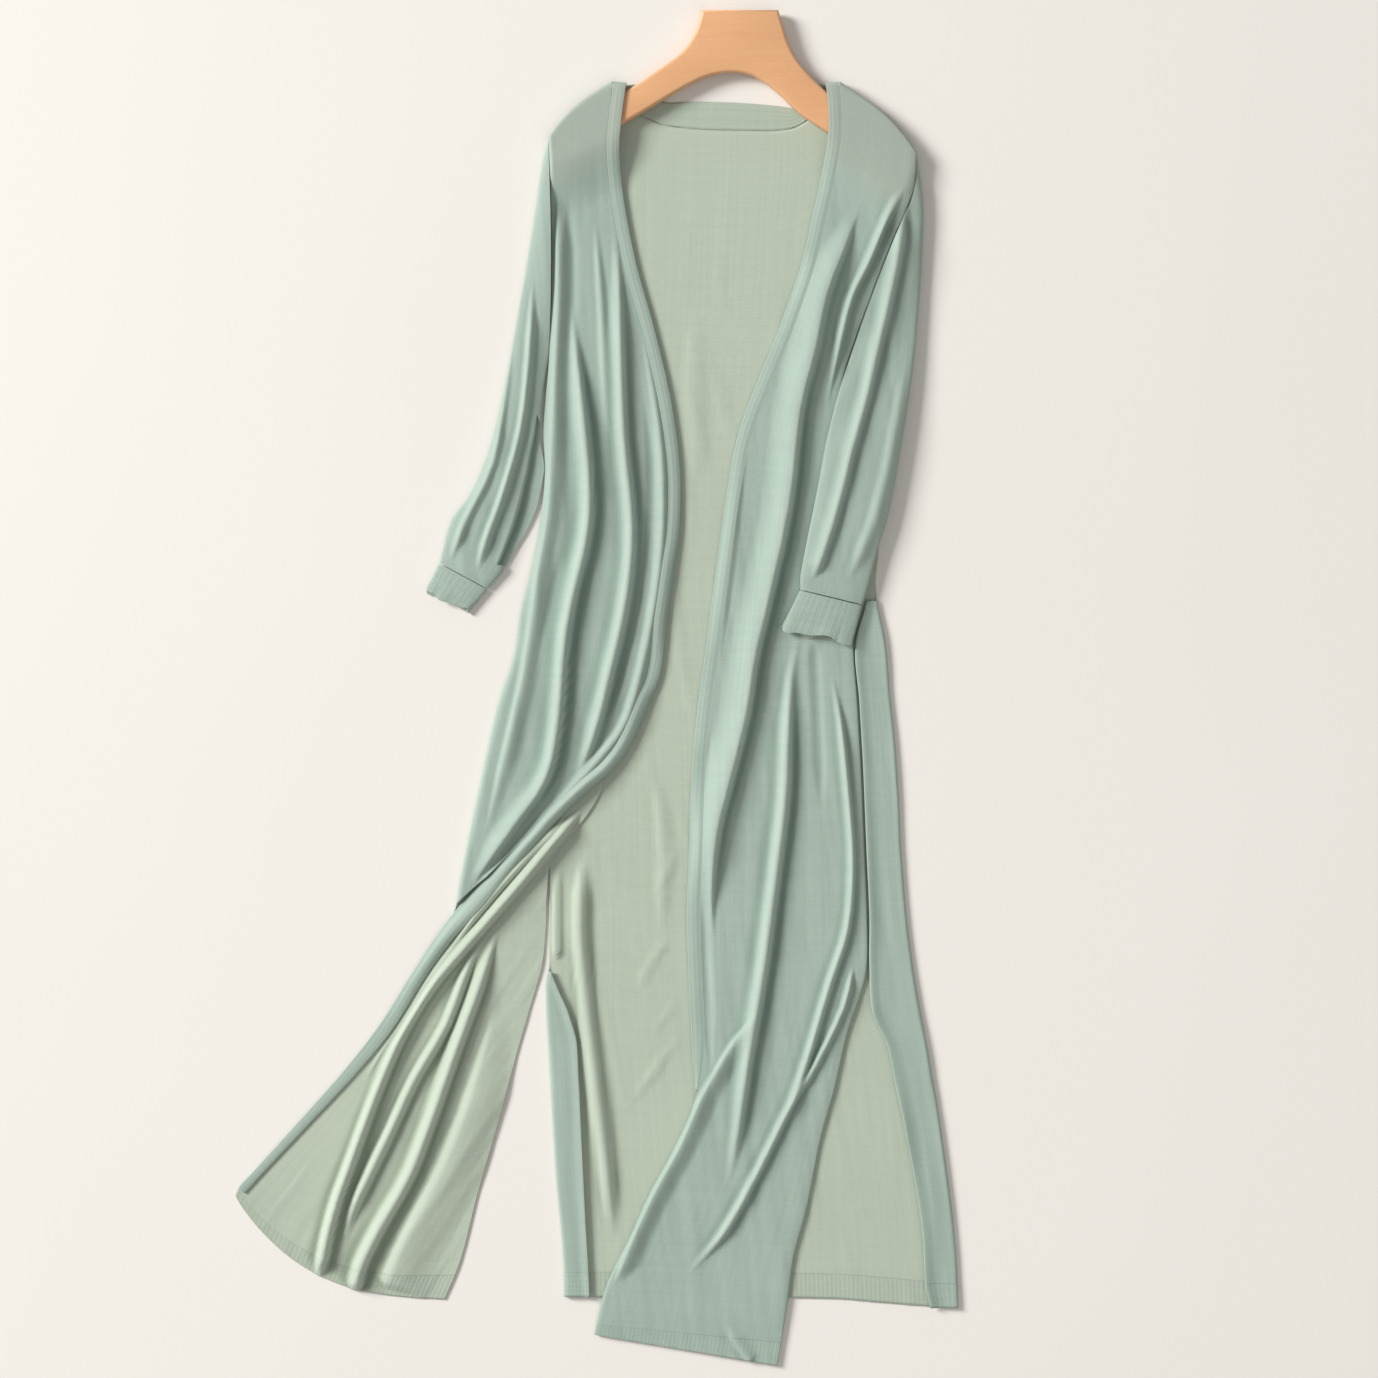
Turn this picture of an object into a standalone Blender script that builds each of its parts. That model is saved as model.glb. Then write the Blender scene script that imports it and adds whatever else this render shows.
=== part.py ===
"""Duster cardigan in fine sage knit, laid flat on a surface with a wooden hanger in its shoulders.

Frame: metres, +Z up from the surface that it lies on, +Y towards the neck, +X towards the wearer's left.
The origin is under the middle of the whole outline. Left and right are the wearer's own sides.
The tables below hold millimetres in that frame, and MM turns them into metres.
"""

import math

import bmesh
import bpy
from mathutils import Vector

MM = 0.001

# Cloth and rib walls, and the gaps between pieces
KNIT_WALL = 1.5
RIB_WALL = 2.0
SEAM_GAP = 0.5
BAND_GAP = 0.8
BAND_WIDTH = 13.0
HEM_DEPTH = 24.0
CUFF_WALL = 1.6
CUFF_RIB_HEIGHT = 0.5
CUFF_RIB_PITCH = 4.2

# Heights of the layers above the surface
BACK_TOP = KNIT_WALL
FRONT_TOP = 5.8
FRONT_LOWEST_TOP = 3.9
SASH_EXTRA = 1.6
OVER_BACK = 2.1
FLAP_TOP = 4.6
FOLD_MIDDLE = 2.3

# Wooden hanger
HANGER_BOTTOM = 2.5
HANGER_THICK = 12.0
HANGER_EDGE_ROUND = 3.0
OVER_HANGER = HANGER_BOTTOM + HANGER_THICK + 0.7 + KNIT_WALL

SAGE = (0.42, 0.53, 0.46, 1.0)
SAGE_RIB = (0.39, 0.50, 0.44, 1.0)
BEECH = (0.80, 0.52, 0.30, 1.0)


# Clearing the scene
for leftover in list(bpy.data.objects):
    bpy.data.objects.remove(leftover)


# Curves through short tables
def catmull(values, at):
    """A smooth curve through rows of numbers. at is the row's index, and may lie between rows."""
    last = len(values) - 1
    at = min(max(at, 0.0), float(last))
    i = min(int(at), last - 1)
    t = at - i
    before = values[max(i - 1, 0)]
    here = values[i]
    after = values[i + 1]
    beyond = values[min(i + 2, last)]
    found = []
    for a, b, c, d in zip(before, here, after, beyond):
        curve = 2 * b + (c - a) * t
        curve += (2 * a - 5 * b + 4 * c - d) * t * t
        curve += (3 * b - a - 3 * c + d) * t * t * t
        found.append(curve / 2)
    return found


def keyed(rows, key):
    """Smoothly interpolates rows of (key, value, ...), whose keys rise or fall steadily."""
    if rows[0][0] > rows[-1][0]:
        rows = rows[::-1]
    key = min(max(key, rows[0][0]), rows[-1][0])
    i = 0
    while i < len(rows) - 2 and key > rows[i + 1][0]:
        i += 1
    t = (key - rows[i][0]) / (rows[i + 1][0] - rows[i][0])
    return [v[0] for v in zip(catmull([r[1:] for r in rows], i + t))]


def smooth(low, high, value):
    """0 below low, 1 above high and an even S between them. low may be the larger."""
    t = min(max((value - low) / (high - low), 0.0), 1.0)
    return t * t * (3 - 2 * t)


def round_over(distance, reach):
    """The quarter circle that cloth makes as it turns over an edge: 0 at the edge, 1 from reach on."""
    t = min(max(distance / reach, 0.0), 1.0)
    return math.sqrt(t * (2 - t))


# Folds: each is a soft ridge, or with a negative height a trough, along a line of points
def nearest_on(path, x, y):
    """(share of the way along the path, signed distance) of the path's nearest point.
    The distance is positive on the side where x is larger as the path runs down towards the hem."""
    lengths = [math.dist(a, b) for a, b in zip(path, path[1:])]
    total = sum(lengths)
    best = None
    gone = 0.0
    for (ax, ay), (bx, by), length in zip(path, path[1:], lengths):
        dx, dy = bx - ax, by - ay
        t = min(max(((x - ax) * dx + (y - ay) * dy) / (length * length), 0.0), 1.0)
        px, py = ax + t * dx, ay + t * dy
        away = math.hypot(x - px, y - py)
        if best is None or away < abs(best[1]):
            side = 1.0 if dx * (y - py) - dy * (x - px) > 0 else -1.0
            best = ((gone + t * length) / total, side * away)
        gone += length
    return best


def fold_height(folds, x, y):
    """The sum of the folds' heights at a place, in millimetres."""
    total = 0.0
    for fold in folds:
        share, away = nearest_on(fold["path"], x, y)
        reach = fold["right"] if away > 0 else fold["left"]
        if abs(away) >= reach:
            continue
        bump = 0.5 + 0.5 * math.cos(math.pi * away / reach)
        rise = smooth(0.0, fold["fade_in"], share) if fold["fade_in"] else 1.0
        fall = smooth(1.0, 1.0 - fold["fade_out"], share) if fold["fade_out"] else 1.0
        total += fold["height"] * bump * rise * fall
    return total


def fold(height, left, right, fade_in, fade_out, *path):
    return {
        "height": height,
        "left": left,
        "right": right,
        "fade_in": fade_in,
        "fade_out": fade_out,
        "path": path,
    }


# The wearer's right front: its side line runs from the shoulder tip down the armhole, and on down the
# fold where the panel turns under and spreads out with its wrong side up, to the corner of the hem.
RIGHT_SIDE = [
    # x, y
    (-48, 551),
    (-46, 494),
    (-45, 440),
    (-45.5, 385),
    (-48, 325),
    (-53.5, 262),
    (-52, 215),
    (-57, 165),
    (-67, 115),
    (-76, 79),
    (-83, 34),
    (-98, -12),
    (-109, -58),
    (-122, -118),
    (-136, -186),
    (-142, -219),
    (-156, -247),
    (-178, -277),
    (-205, -321),
    (-233, -359),
    (-265, -400),
    (-304, -444),
    (-337, -477),
    (-355, -494),
    (-361.5, -506),
]
# Its opening edge, with the width of the band there
RIGHT_EDGE = [
    # x, y, band width
    (30, 605, 13),
    (25, 568, 13),
    (23, 532, 13),
    (28, 484, 13),
    (40, 423, 13),
    (57, 362, 13),
    (74, 290, 13),
    (83, 224, 13),
    (83, 164, 13),
    (77, 115, 13),
    (70, 67, 13),
    (64, 18, 13),
    (53, -13, 13),
    (36, -52, 13),
    (15, -81, 13),
    (-12, -105, 13),
    (-39, -131, 13),
    (-61, -156, 13),
    (-89, -187, 15),
    (-116, -219, 18),
    (-147, -254, 15),
    (-175, -293, 13),
    (-205, -341, 13),
    (-243, -387, 11),
    (-287, -434, 9),
    (-334, -484, 8),
    (-352, -504, 8),
]
# Where each level of the side line meets the opening edge, and how far the cloth bows up between them
RIGHT_RUNGS = [
    # place on the side line, place on the opening edge, bow
    (0, 0.0, 8),
    (0.5, 0.9, 6),
    (1, 1.7, 5),
    (2, 2.8, 1),
    (3, 3.65, 0),
    (4, 4.7, 0),
    (5, 5.85, 0),
    (6, 6.75, 0),
    (7, 7.7, 0),
    (8, 8.75, 0),
    (9, 9.5, 0),
    (10, 10.5, 0),
    (11, 11.7, 0),
    (12, 12.8, 0),
    (13, 14.9, 0),
    (14, 17.3, 0),
    (14.85, 18.35, 0),
]
RIGHT_TIP_AT = 14.85
# The turned part's inner line: the seam, then the slit edge
TURNED_RUNGS = [
    # place on the side line, inner x, inner y, sag towards the hem
    (6, -49.5, 216, 0),
    (7, -49.5, 166, 0),
    (8, -49.5, 118, 0),
    (9, -50, 82, 0),
    (10, -49, 34, 0),
    (11, -40, -11, 0),
    (12, -7, -56, 0),
    (12.6, 6, -88, 0),
    (13, -1, -112, 0),
    (13.5, -22, -142, 0),
    (14, -45, -171, 0),
    (15, -50, -205, 0),
    (16, -51, -240, 2),
    (17, -55, -277, 5),
    (18, -68, -323, 9),
    (19, -82, -372, 14),
    (20, -95, -420, 19),
    (21, -107, -463, 24),
    (22, -119, -505, 29),
    (23, -135, -568, 34),
    (24, -152, -610, 37),
]
TURNED_FIRST_AT = 6.0
TURNED_HEM_AT = 23.35
TURNED_LAST_AT = 24.0
SAG_DIRECTION = Vector((-0.12, -0.99))

RIGHT_FOLDS = [
    # height, reach to the left and right, fade at the top and foot, then the crest's points
    fold(4, 9, 15, 0.1, 0.15, (-39, 500), (-38, 400), (-42, 300), (-45, 235), (-48, 179),
         (-59, 110), (-72, 20), (-90, -60), (-112, -150)),
    fold(-1.6, 10, 14, 0.15, 0.3, (-28, 500), (-28, 400), (-33, 300), (-28, 215), (-27, 152),
         (-45, 95), (-68, 0)),
    fold(9, 17, 9, 0.12, 0.1, (-22, 350), (-14, 280), (-7, 195), (-12, 140), (-30, 60),
         (-40, -30), (-52, -88), (-82, -138), (-127, -203)),
    fold(8, 18, 12, 0.15, 0.12, (24, 400), (24, 320), (26, 250), (35, 165), (30, 95), (16, 20),
         (0, -55)),
    fold(4, 11, 14, 0.25, 0.05, (45, 360), (66, 260), (72, 185), (68, 120), (56, 40), (33, -33),
         (4, -68), (-35, -112), (-80, -162), (-124, -210)),
]
TURNED_FOLDS = [
    fold(8, 9, 9, 0.06, 0.1, (-10, -112), (-34, -138), (-80, -195), (-129, -253), (-167, -298),
         (-192, -338), (-217, -396), (-243, -466), (-263, -524), (-278, -590)),
    fold(4.5, 8, 8, 0.25, 0.3, (-107, -246), (-126, -271), (-150, -334), (-183, -391), (-205, -439),
         (-222, -474), (-244, -521), (-254, -556)),
    fold(8, 20, 11, 0.3, 0.05, (-105, -235), (-122, -296), (-140, -350), (-160, -410), (-185, -482),
         (-216, -537), (-235, -576), (-241, -600)),
]

# The wearer's left front: side line down the armhole, side seam and slit, and the opening edge.
# Below the corner, where the width is 0, the edge is a fold: the rest of the opening is turned under it.
LEFT_SIDE = [
    # x, y
    (319, 536),
    (315, 494),
    (296, 450),
    (278, 404),
    (260, 354),
    (246, 306),
    (250, 262),
    (254, 216),
    (257, 166),
    (257, 108),
    (256, 48),
    (260, -11),
    (264, -81),
    (267, -156),
    (270, -226),
    (270, -276),
    (262, -310),
    (250, -345),
    (237, -402),
    (223, -452),
    (210, -518),
    (197, -567),
    (190, -617),
    (180, -676),
]
LEFT_EDGE = [
    # x, y, band width
    (228, 605, 13),
    (231, 571, 13),
    (230, 544, 13),
    (224, 511, 13),
    (216, 475, 13),
    (206, 431, 13),
    (193, 391, 13),
    (177, 347, 13),
    (158, 301, 13),
    (141, 254, 13),
    (131, 204, 13),
    (123, 149, 13),
    (115, 89, 13),
    (108, 34, 13),
    (101, -16, 13),
    (95, -81, 13),
    (92, -156, 13),
    (90, -229, 13),
    (92, -296, 13),
    (95, -361, 12),
    (97, -413, 0),
    (76, -461, 0),
    (52, -505, 0),
    (32, -549, 0),
    (9, -597, 0),
    (-3, -645, 0),
]
LEFT_CORNER_AT = 20
TUCK_WIDTHS = [
    # place on the opening edge, width turned under
    (20, 4),
    (21, 16),
    (23, 26),
    (25, 30),
]
LEFT_RUNGS = [
    # place on the side line, place on the opening edge, bow
    (0, 0.0, 9),
    (0.5, 0.7, 7),
    (1, 1.4, 4),
    (2, 2.8, 1),
    (3, 4, 0),
    (4, 5.2, 0),
    (5, 6.8, 0),
    (6, 8.1, 0),
    (7, 9.2, 0),
    (8, 10.6, 0),
    (9, 11.6, 0),
    (10, 12.7, 0),
    (11, 13.8, 0),
    (12, 15, 0),
    (13, 16, 0),
    (14, 17, 0),
    (15, 17.8, 0),
    (16, 18.4, 0),
    (17, 19, 0),
    (18, 20, 0),
    (19, 21, 0),
    (20, 22.2, 0),
    (21, 23.2, 0),
    (22, 24.2, 0),
    (23, 25, 0),
]
LEFT_HEM_AT = 22.55
LEFT_LAST_AT = 23.0
LEFT_FOLDS = [
    fold(9, 30, 11, 0.12, 0.15, (262, 484), (246, 439), (229, 395), (217, 338), (202, 278),
         (191, 183), (171, 90), (158, 35), (148, -27), (134, -84), (119, -144), (114, -205), (116, -253)),
    fold(5, 9, 8, 0.1, 0.35, (308, 505), (290, 470), (270, 423), (254, 390), (241, 338), (229, 280)),
    fold(9, 15, 10, 0.14, 0.2, (204, 60), (194, 10), (190, -56), (188, -108), (179, -181),
         (170, -253), (160, -319), (148, -375), (141, -441), (131, -501)),
    fold(6, 12, 8, 0.1, 0.15, (233, 20), (243, -30), (252, -120), (255, -181), (250, -240),
         (233, -293), (213, -369), (187, -435), (154, -495), (128, -541), (90, -588)),
    fold(6, 5, 18, 0.15, 0.1, (160, -321), (134, -356), (106, -405), (84, -455), (59, -500),
         (38, -545), (17, -595)),
    fold(-1.5, 8, 9, 0.1, 0.2, (114, -40), (108, -108), (107, -205), (110, -302), (114, -389)),
]

# The back: straight side seams to the slits, then each slit edge folded over on top
BACK_LEFT_X = [
    # y, x of the wearer's right side
    (552, -46.8),
    (494, -45.0),
    (440, -44.0),
    (385, -44.5),
    (324, -46.6),
    (100, -47.5),
    (-276, -48),
    (-301, -51),
    (-402, -46),
    (-485, -41),
    (-567, -34),
    (-612, -33),
]
BACK_RIGHT_X = [
    # y, x of the wearer's left side
    (536, 318),
    (439, 308),
    (309, 296),
    (209, 287),
    (129, 281),
    (99, 279),
    (43, 289),
    (-6, 293),
    (-51, 298),
    (-111, 302),
    (-171, 305),
    (-270, 315),
    (-386, 335),
    (-468, 348),
    (-551, 358),
    (-620, 361.5),
]
RIGHT_SHOULDER = [
    # x, y of the back's edge
    (-46.5, 549),
    (-43, 555),
    (-25, 573),
    (3, 590),
    (19, 597),
]
LEFT_SHOULDER = [
    # x, y of the back's edge
    (242, 596),
    (268, 576),
    (296, 559),
    (314, 541),
    (318, 533),
]
NECK_BAND = [
    # x and y of the free edge, x and y of the seam, rise of the band around the hanger
    (37, 604.5, 25, 602, 1.0),
    (47, 597, 31, 583, 0),
    (57, 590, 46, 573, 0),
    (72, 586, 66, 564, 0),
    (102, 587, 98, 559.5, 0),
    (140, 586, 138, 558, 0),
    (178, 583, 180, 558, 0),
    (197, 581, 200, 562, 0),
    (209, 588, 218, 574, 0),
    (215, 596, 230, 585, 0),
    (222, 604.5, 236, 601, 1.0),
]
BACK_SEAM_Y = [
    # share of the width, y of the hem's seam
    (0.0, -583),
    (0.7, -585),
    (1.0, -594),
]
RIGHT_FLAP_EDGE_X = [
    # y, x of the free edge folded over at the wearer's right slit
    (-280, -46),
    (-296, -40),
    (-321, -29),
    (-351, -20),
    (-402, -17),
    (-534, -11),
    (-612, -7),
]
LEFT_FLAP_EDGE_X = [
    # y, x of the seam, and below the slit's top of the free edge folded over
    (92, 270),
    (43, 258),
    (-11, 262),
    (-81, 266),
    (-156, 269),
    (-226, 272),
    (-276, 272),
    (-323, 275),
    (-356, 290),
    (-396, 298),
    (-435, 307),
    (-488, 317),
    (-544, 325),
    (-597, 328),
    (-620, 333),
]
RIGHT_FLAP_FIRST_Y = -282
LEFT_FLAP_FIRST_Y = 88
BACK_HEM_DROP = 24.5
BACK_FOLDS = [
    fold(5.5, 8, 20, 0.2, 0.35, (-14, -185), (-18, -230), (-14, -290), (-5, -369), (5, -452),
         (12, -518), (15, -560)),
    fold(3, 6, 8, 0.3, 0.2, (-38, -186), (-39, -231), (-38, -268)),
]

# Sleeves, as flattened tubes: each ring runs from the outer side to the inner side
RIGHT_SLEEVE = [
    # outer x, y, inner x, y, underside at outer and inner, height at outer and inner
    (-49.6, 551, -48.9, 324, 0, 0, 16, 7),
    (-56, 524, -50.5, 316, 0, 0, 14, 7),
    (-63, 474, -52, 307, 0, 0, 11, 7),
    (-75, 399, -54, 291, 0, 0, 9, 7),
    (-89, 319, -58.5, 251, 0, 0, 10, 8),
    (-102, 259, -65, 229, 0, 0, 11, 8),
    (-113, 224, -70, 205, 0, 0, 11, 9),
    (-127, 194, -76, 176, 0, 0, 11, 10),
    (-145, 169, -82, 148, 0, 0, 10, 10),
    (-152, 146, -92, 121, 0, 0, 9, 10),
    (-157, 126, -109, 100, 0, 0, 7, 8),
]
RIGHT_SLEEVE_FOLDS = [
    fold(3.5, 8, 7, 0.2, 0.1, (-66, 430), (-74, 350), (-80, 290), (-84, 240), (-104, 190), (-133, 140)),
    fold(4, 8, 7, 0.25, 0.1, (-96, 290), (-104, 245), (-121, 205), (-142, 165), (-150, 130)),
]
RIGHT_CUFF = [
    (-157.4, 125.2, -109.6, 99.2, 0, 0, 7, 8),
    (-171, 98, -128, 77, 0, 0, 7, 7),
]
LEFT_SLEEVE = [
    (322, 533, 247.6, 304, 2.2, 6.2, 14, 7),
    (328, 484, 241, 290, 2.4, 6.4, 12, 7),
    (326, 427, 235, 269, 3.0, 6.6, 10, 8),
    (321, 369, 229, 246, 4.0, 6.6, 9, 8),
    (315, 314, 223, 215, 5.0, 6.6, 10, 9),
    (307, 261, 217, 184, 6.0, 6.6, 10, 9),
    (299, 214, 211, 155, 6.2, 6.6, 10, 9),
    (291, 174, 206, 129, 6.2, 6.6, 10, 9),
    (280, 138, 203, 112, 6.2, 6.6, 9, 9),
    (271, 104, 203, 102, 6.2, 6.6, 8, 8),
    (265, 84, 203, 99, 6.2, 6.6, 8, 8),
]
LEFT_SLEEVE_FOLDS = [
    fold(4, 9, 9, 0.12, 0.12, (312, 480), (300, 420), (282, 350), (268, 290), (252, 230), (232, 150),
         (215, 108)),
    fold(3, 9, 11, 0.2, 0.15, (314, 380), (305, 310), (292, 240), (272, 170), (245, 105)),
]
LEFT_CUFF = [
    (264.6, 83.0, 202.4, 98.2, 6.2, 6.6, 8, 8),
    (254, 44, 184, 60, 6.2, 6.6, 8, 7),
]

# Hanger arms as the cloth feels them, and the board's outline
HANGER_ARMS = [
    [(33, 585), (5, 571), (-22, 559), (-38, 550)],
    [(222, 582), (252, 564), (284, 543), (305, 526)],
]
ARM_HALF_DEPTH = 19.0
ARM_DRAPE = 58.0
HANGER_OUTLINE = [
    # x, y, anticlockwise from the top right corner of the neck
    (181, 676.5),
    (105, 676.5),
    (100, 659),
    (93, 645),
    (83, 633),
    (63, 618),
    (36, 600),
    (5, 583),
    (-18, 570),
    (-31, 560),
    (-37, 550),
    (-36, 541),
    (-27, 537),
    (-15, 541),
    (5, 551),
    (31, 566),
    (53, 579),
    (71, 590),
    (92, 602),
    (112, 611),
    (134, 614.5),
    (153, 612),
    (168, 604),
    (184, 591),
    (203, 573),
    (225, 558),
    (253, 540),
    (281, 520),
    (293, 513),
    (303, 513),
    (309, 519),
    (306, 529),
    (292, 545),
    (263, 569),
    (226, 598),
    (203, 622),
    (192, 641),
    (186, 659),
]


# Heights of the cloth above the surface
def arm_lift(x, y):
    """How far the hanger's arms lift the fronts, from 0 to 1: full over an arm, and falling away below it."""
    best = 0.0
    for arm in HANGER_ARMS:
        away = abs(nearest_on(arm, x, y)[1])
        best = max(best, smooth(ARM_HALF_DEPTH + ARM_DRAPE, ARM_HALF_DEPTH, away))
    return best


def right_front_top(x, y):
    base = FRONT_TOP + SASH_EXTRA * smooth(40, -30, y)
    top = max(base + fold_height(RIGHT_FOLDS, x, y), FRONT_LOWEST_TOP)
    return top + (OVER_HANGER - top) * arm_lift(x, y)


def left_front_top(x, y):
    base = FRONT_TOP
    top = max(base + fold_height(LEFT_FOLDS, x, y), FRONT_LOWEST_TOP)
    top = top + (OVER_HANGER - top) * arm_lift(x, y)
    past_back_hem = smooth(-624, -655, y)
    return top - past_back_hem * 1.8


def seam_points(edge_table, towards, gap=0.0):
    """Points where the band is sewn on: the opening edge moved inwards by the band's width and a gap."""
    moved = []
    for i, (x, y, width) in enumerate(edge_table):
        ahead = edge_table[min(i + 1, len(edge_table) - 1)]
        behind = edge_table[max(i - 1, 0)]
        run = Vector((ahead[0] - behind[0], ahead[1] - behind[1])).normalized()
        inwards = Vector((-run.y, run.x)) * towards
        reach = width + gap if width else 0.0
        moved.append((x + inwards.x * reach, y + inwards.y * reach))
    return moved


RIGHT_SEAM = seam_points(RIGHT_EDGE, -1)
LEFT_SEAM = seam_points(LEFT_EDGE, 1)
RIGHT_PANEL_EDGE = seam_points(RIGHT_EDGE, -1, BAND_GAP)
LEFT_PANEL_EDGE = seam_points(LEFT_EDGE, 1, BAND_GAP)


def rung(rungs, at):
    """(place on the opening edge, bow) for a place on the side line."""
    return keyed(rungs, at)


def edge_drop(top, distance, edge_top, reach):
    """The cloth's height near an edge that lies lower than the cloth does."""
    return edge_top + (top - edge_top) * round_over(distance, reach)


SHOULDER_EDGE_TOP = 3.6
SHOULDER_STEP = 57.0
TOP_GAP = 1.3
BAND_STEP = 37.0


def shoulder_turn(top, from_seam):
    """Turns the fronts down over the hanger's upper edge, close to the shoulder seam."""
    return SHOULDER_EDGE_TOP + (top - SHOULDER_EDGE_TOP) * round_over(from_seam, 8.0)


def right_upper_point(at, u):
    """A point of the right front's upper side. u runs from the side line to the band's seam."""
    edge_at, bow = rung(RIGHT_RUNGS, at)
    start = Vector(catmull(RIGHT_SIDE, at))
    end = Vector(catmull(RIGHT_PANEL_EDGE, edge_at))
    end.x -= TOP_GAP * smooth(0.35, 0.0, at)
    place = start.lerp(end, u)
    place.y += bow * math.sin(math.pi * u ** 0.75)
    top = right_front_top(place.x, place.y)
    from_side = (place - start).length
    side_top = 7.0 if at < 4.5 else FOLD_MIDDLE + 0.7
    side_top = side_top + (13.0 - side_top) * smooth(1.6, 0.0, at)
    side_top = side_top + (FOLD_MIDDLE + 0.7 - side_top) * smooth(4.0, 5.0, at)
    top = edge_drop(top, from_side, min(side_top, top), 7.0)
    top = shoulder_turn(top, at * SHOULDER_STEP)
    return Vector((place.x, place.y, top)) * MM


def turned_rung(at):
    return keyed(TURNED_RUNGS, at)


def turned_under(x, y, from_side):
    """Height of the turned part's underside, which is the cloth's right side."""
    over_back = smooth(-112, -64, x) * smooth(-236, -200, y)
    lift = OVER_BACK * over_back
    folds = max(fold_height(TURNED_FOLDS, x, y), 0.0)
    return lift + folds * smooth(12, 24, from_side)


def turned_point(at, u):
    """A point of the right front's turned part. u runs from the side line to the seam and slit edge."""
    inner_x, inner_y, sag = turned_rung(at)
    start = Vector(catmull(RIGHT_SIDE, at))
    end = Vector((inner_x, inner_y))
    place = start.lerp(end, u) + SAG_DIRECTION * sag * math.sin(math.pi * u ** 0.8)
    from_side = (place - start).length
    under = turned_under(place.x, place.y, from_side)
    fold_under = (FOLD_MIDDLE + 0.7) * smooth(15.6, 14.9, at)
    under = fold_under + (under - fold_under) * round_over(from_side, 3.0)
    return Vector((place.x, place.y, under)) * MM


def left_front_point(at, u):
    """A point of the left front. u runs from the band's seam, or the fold below it, to the side line."""
    edge_at, bow = rung(LEFT_RUNGS, at)
    end = Vector(catmull(LEFT_SIDE, at))
    start = Vector(catmull(LEFT_PANEL_EDGE, edge_at))
    start.x += TOP_GAP * smooth(0.35, 0.0, at)
    place = start.lerp(end, u)
    place.y += bow * math.sin(math.pi * u ** 1.3)
    top = left_front_top(place.x, place.y)
    from_side = (place - end).length
    side_top = 4.0 + 9.0 * smooth(2.5, 0.0, at) + 2.0 * smooth(4.8, 2.0, at)
    top = edge_drop(top, from_side, min(side_top, top), 12.0)
    if edge_at >= LEFT_CORNER_AT:
        from_fold = (place - start).length
        middle = left_tuck_under(place.y) + FOLD_MIDDLE - 0.6
        top = middle + (top - middle) * round_over(from_fold, 4.0)
    top = shoulder_turn(top, at * SHOULDER_STEP)
    return Vector((place.x, place.y, top)) * MM


def left_tuck_under(y):
    """Height of the underside of the part that is turned under at the left front's lower opening."""
    return OVER_BACK - 1.8 * smooth(-624, -655, y)


def left_tuck_point(at, u):
    """A point of that turned part. u runs from the fold to its hidden edge."""
    edge_at, _bow = rung(LEFT_RUNGS, at)
    fold_point = Vector(catmull(LEFT_PANEL_EDGE, edge_at))
    side = Vector(catmull(LEFT_SIDE, at))
    width = keyed(TUCK_WIDTHS, edge_at)[0]
    place = fold_point + (side - fold_point).normalized() * width * u
    under = left_tuck_under(place.y)
    middle = under + FOLD_MIDDLE - 0.6
    from_fold = (place - fold_point).length
    z = middle + (under - middle) * round_over(from_fold, 3.0)
    return Vector((place.x, place.y, z)) * MM


# Bands along the opening edges
BAND_CROWN = 1.0


def right_band_point(at, u):
    """u runs from the seam to the free edge. Past the twist the seam is the fold at the outline."""
    edge = Vector(catmull(RIGHT_EDGE, at)[:2])
    seam = Vector(catmull(RIGHT_SEAM, at))
    place = seam.lerp(edge, u)
    level = right_front_top(seam.x, seam.y)
    free = FRONT_LOWEST_TOP + 1.4 + 2.6 * smooth(12.5, 14.5, at) * smooth(20.5, 19, at)
    free = free + (OVER_HANGER + 0.3 - free) * arm_lift(edge.x, edge.y)
    in_fan = smooth(18.9, 21.0, at)
    level = level + (RIB_WALL + 1.6 - level) * in_fan
    free = free + (RIB_WALL + 1.4 - free) * in_fan
    top = level + (free - level) * u * u + BAND_CROWN * math.sin(math.pi * u)
    top = shoulder_turn(top, at * BAND_STEP)
    return Vector((place.x, place.y, top)) * MM


def left_band_point(at, u):
    """u runs from the free edge to the seam."""
    edge = Vector(catmull(LEFT_EDGE, at)[:2])
    seam = Vector(catmull(LEFT_SEAM, at))
    place = edge.lerp(seam, u)
    level = left_front_top(seam.x, seam.y)
    free = FRONT_LOWEST_TOP + 0.6
    free = free + (OVER_HANGER + 0.3 - free) * arm_lift(edge.x, edge.y)
    top = free + (level - free) * (1 - (1 - u) ** 2) + BAND_CROWN * math.sin(math.pi * u)
    top = shoulder_turn(top, at * BAND_STEP)
    return Vector((place.x, place.y, top)) * MM


# The back and its flaps
def back_under(x, y):
    return max(fold_height(BACK_FOLDS, x, y), 0.0)


def back_side_x(y):
    return keyed(BACK_LEFT_X, y)[0], keyed(BACK_RIGHT_X, y)[0]


def back_outline():
    """The back's upper edge from one shoulder tip to the other, a seam's gap below the neck band."""
    neck = [(x, y - SEAM_GAP) for _x, _y, x, y, _rise in NECK_BAND]
    return RIGHT_SHOULDER + neck + LEFT_SHOULDER


def back_columns():
    """(share of the width, y of the upper edge) for each column of the back."""
    outline = back_outline()
    left, right = outline[0][0], outline[-1][0]
    return [((x - left) / (right - left), y) for x, y in outline]


def back_row_y(row, column):
    """y of a row of the back: row 0 is the neckline and shoulders, 1 the hem's seam."""
    share, top = column
    foot = keyed(BACK_SEAM_Y, share)[0]
    return top + (foot - top) * row


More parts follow.
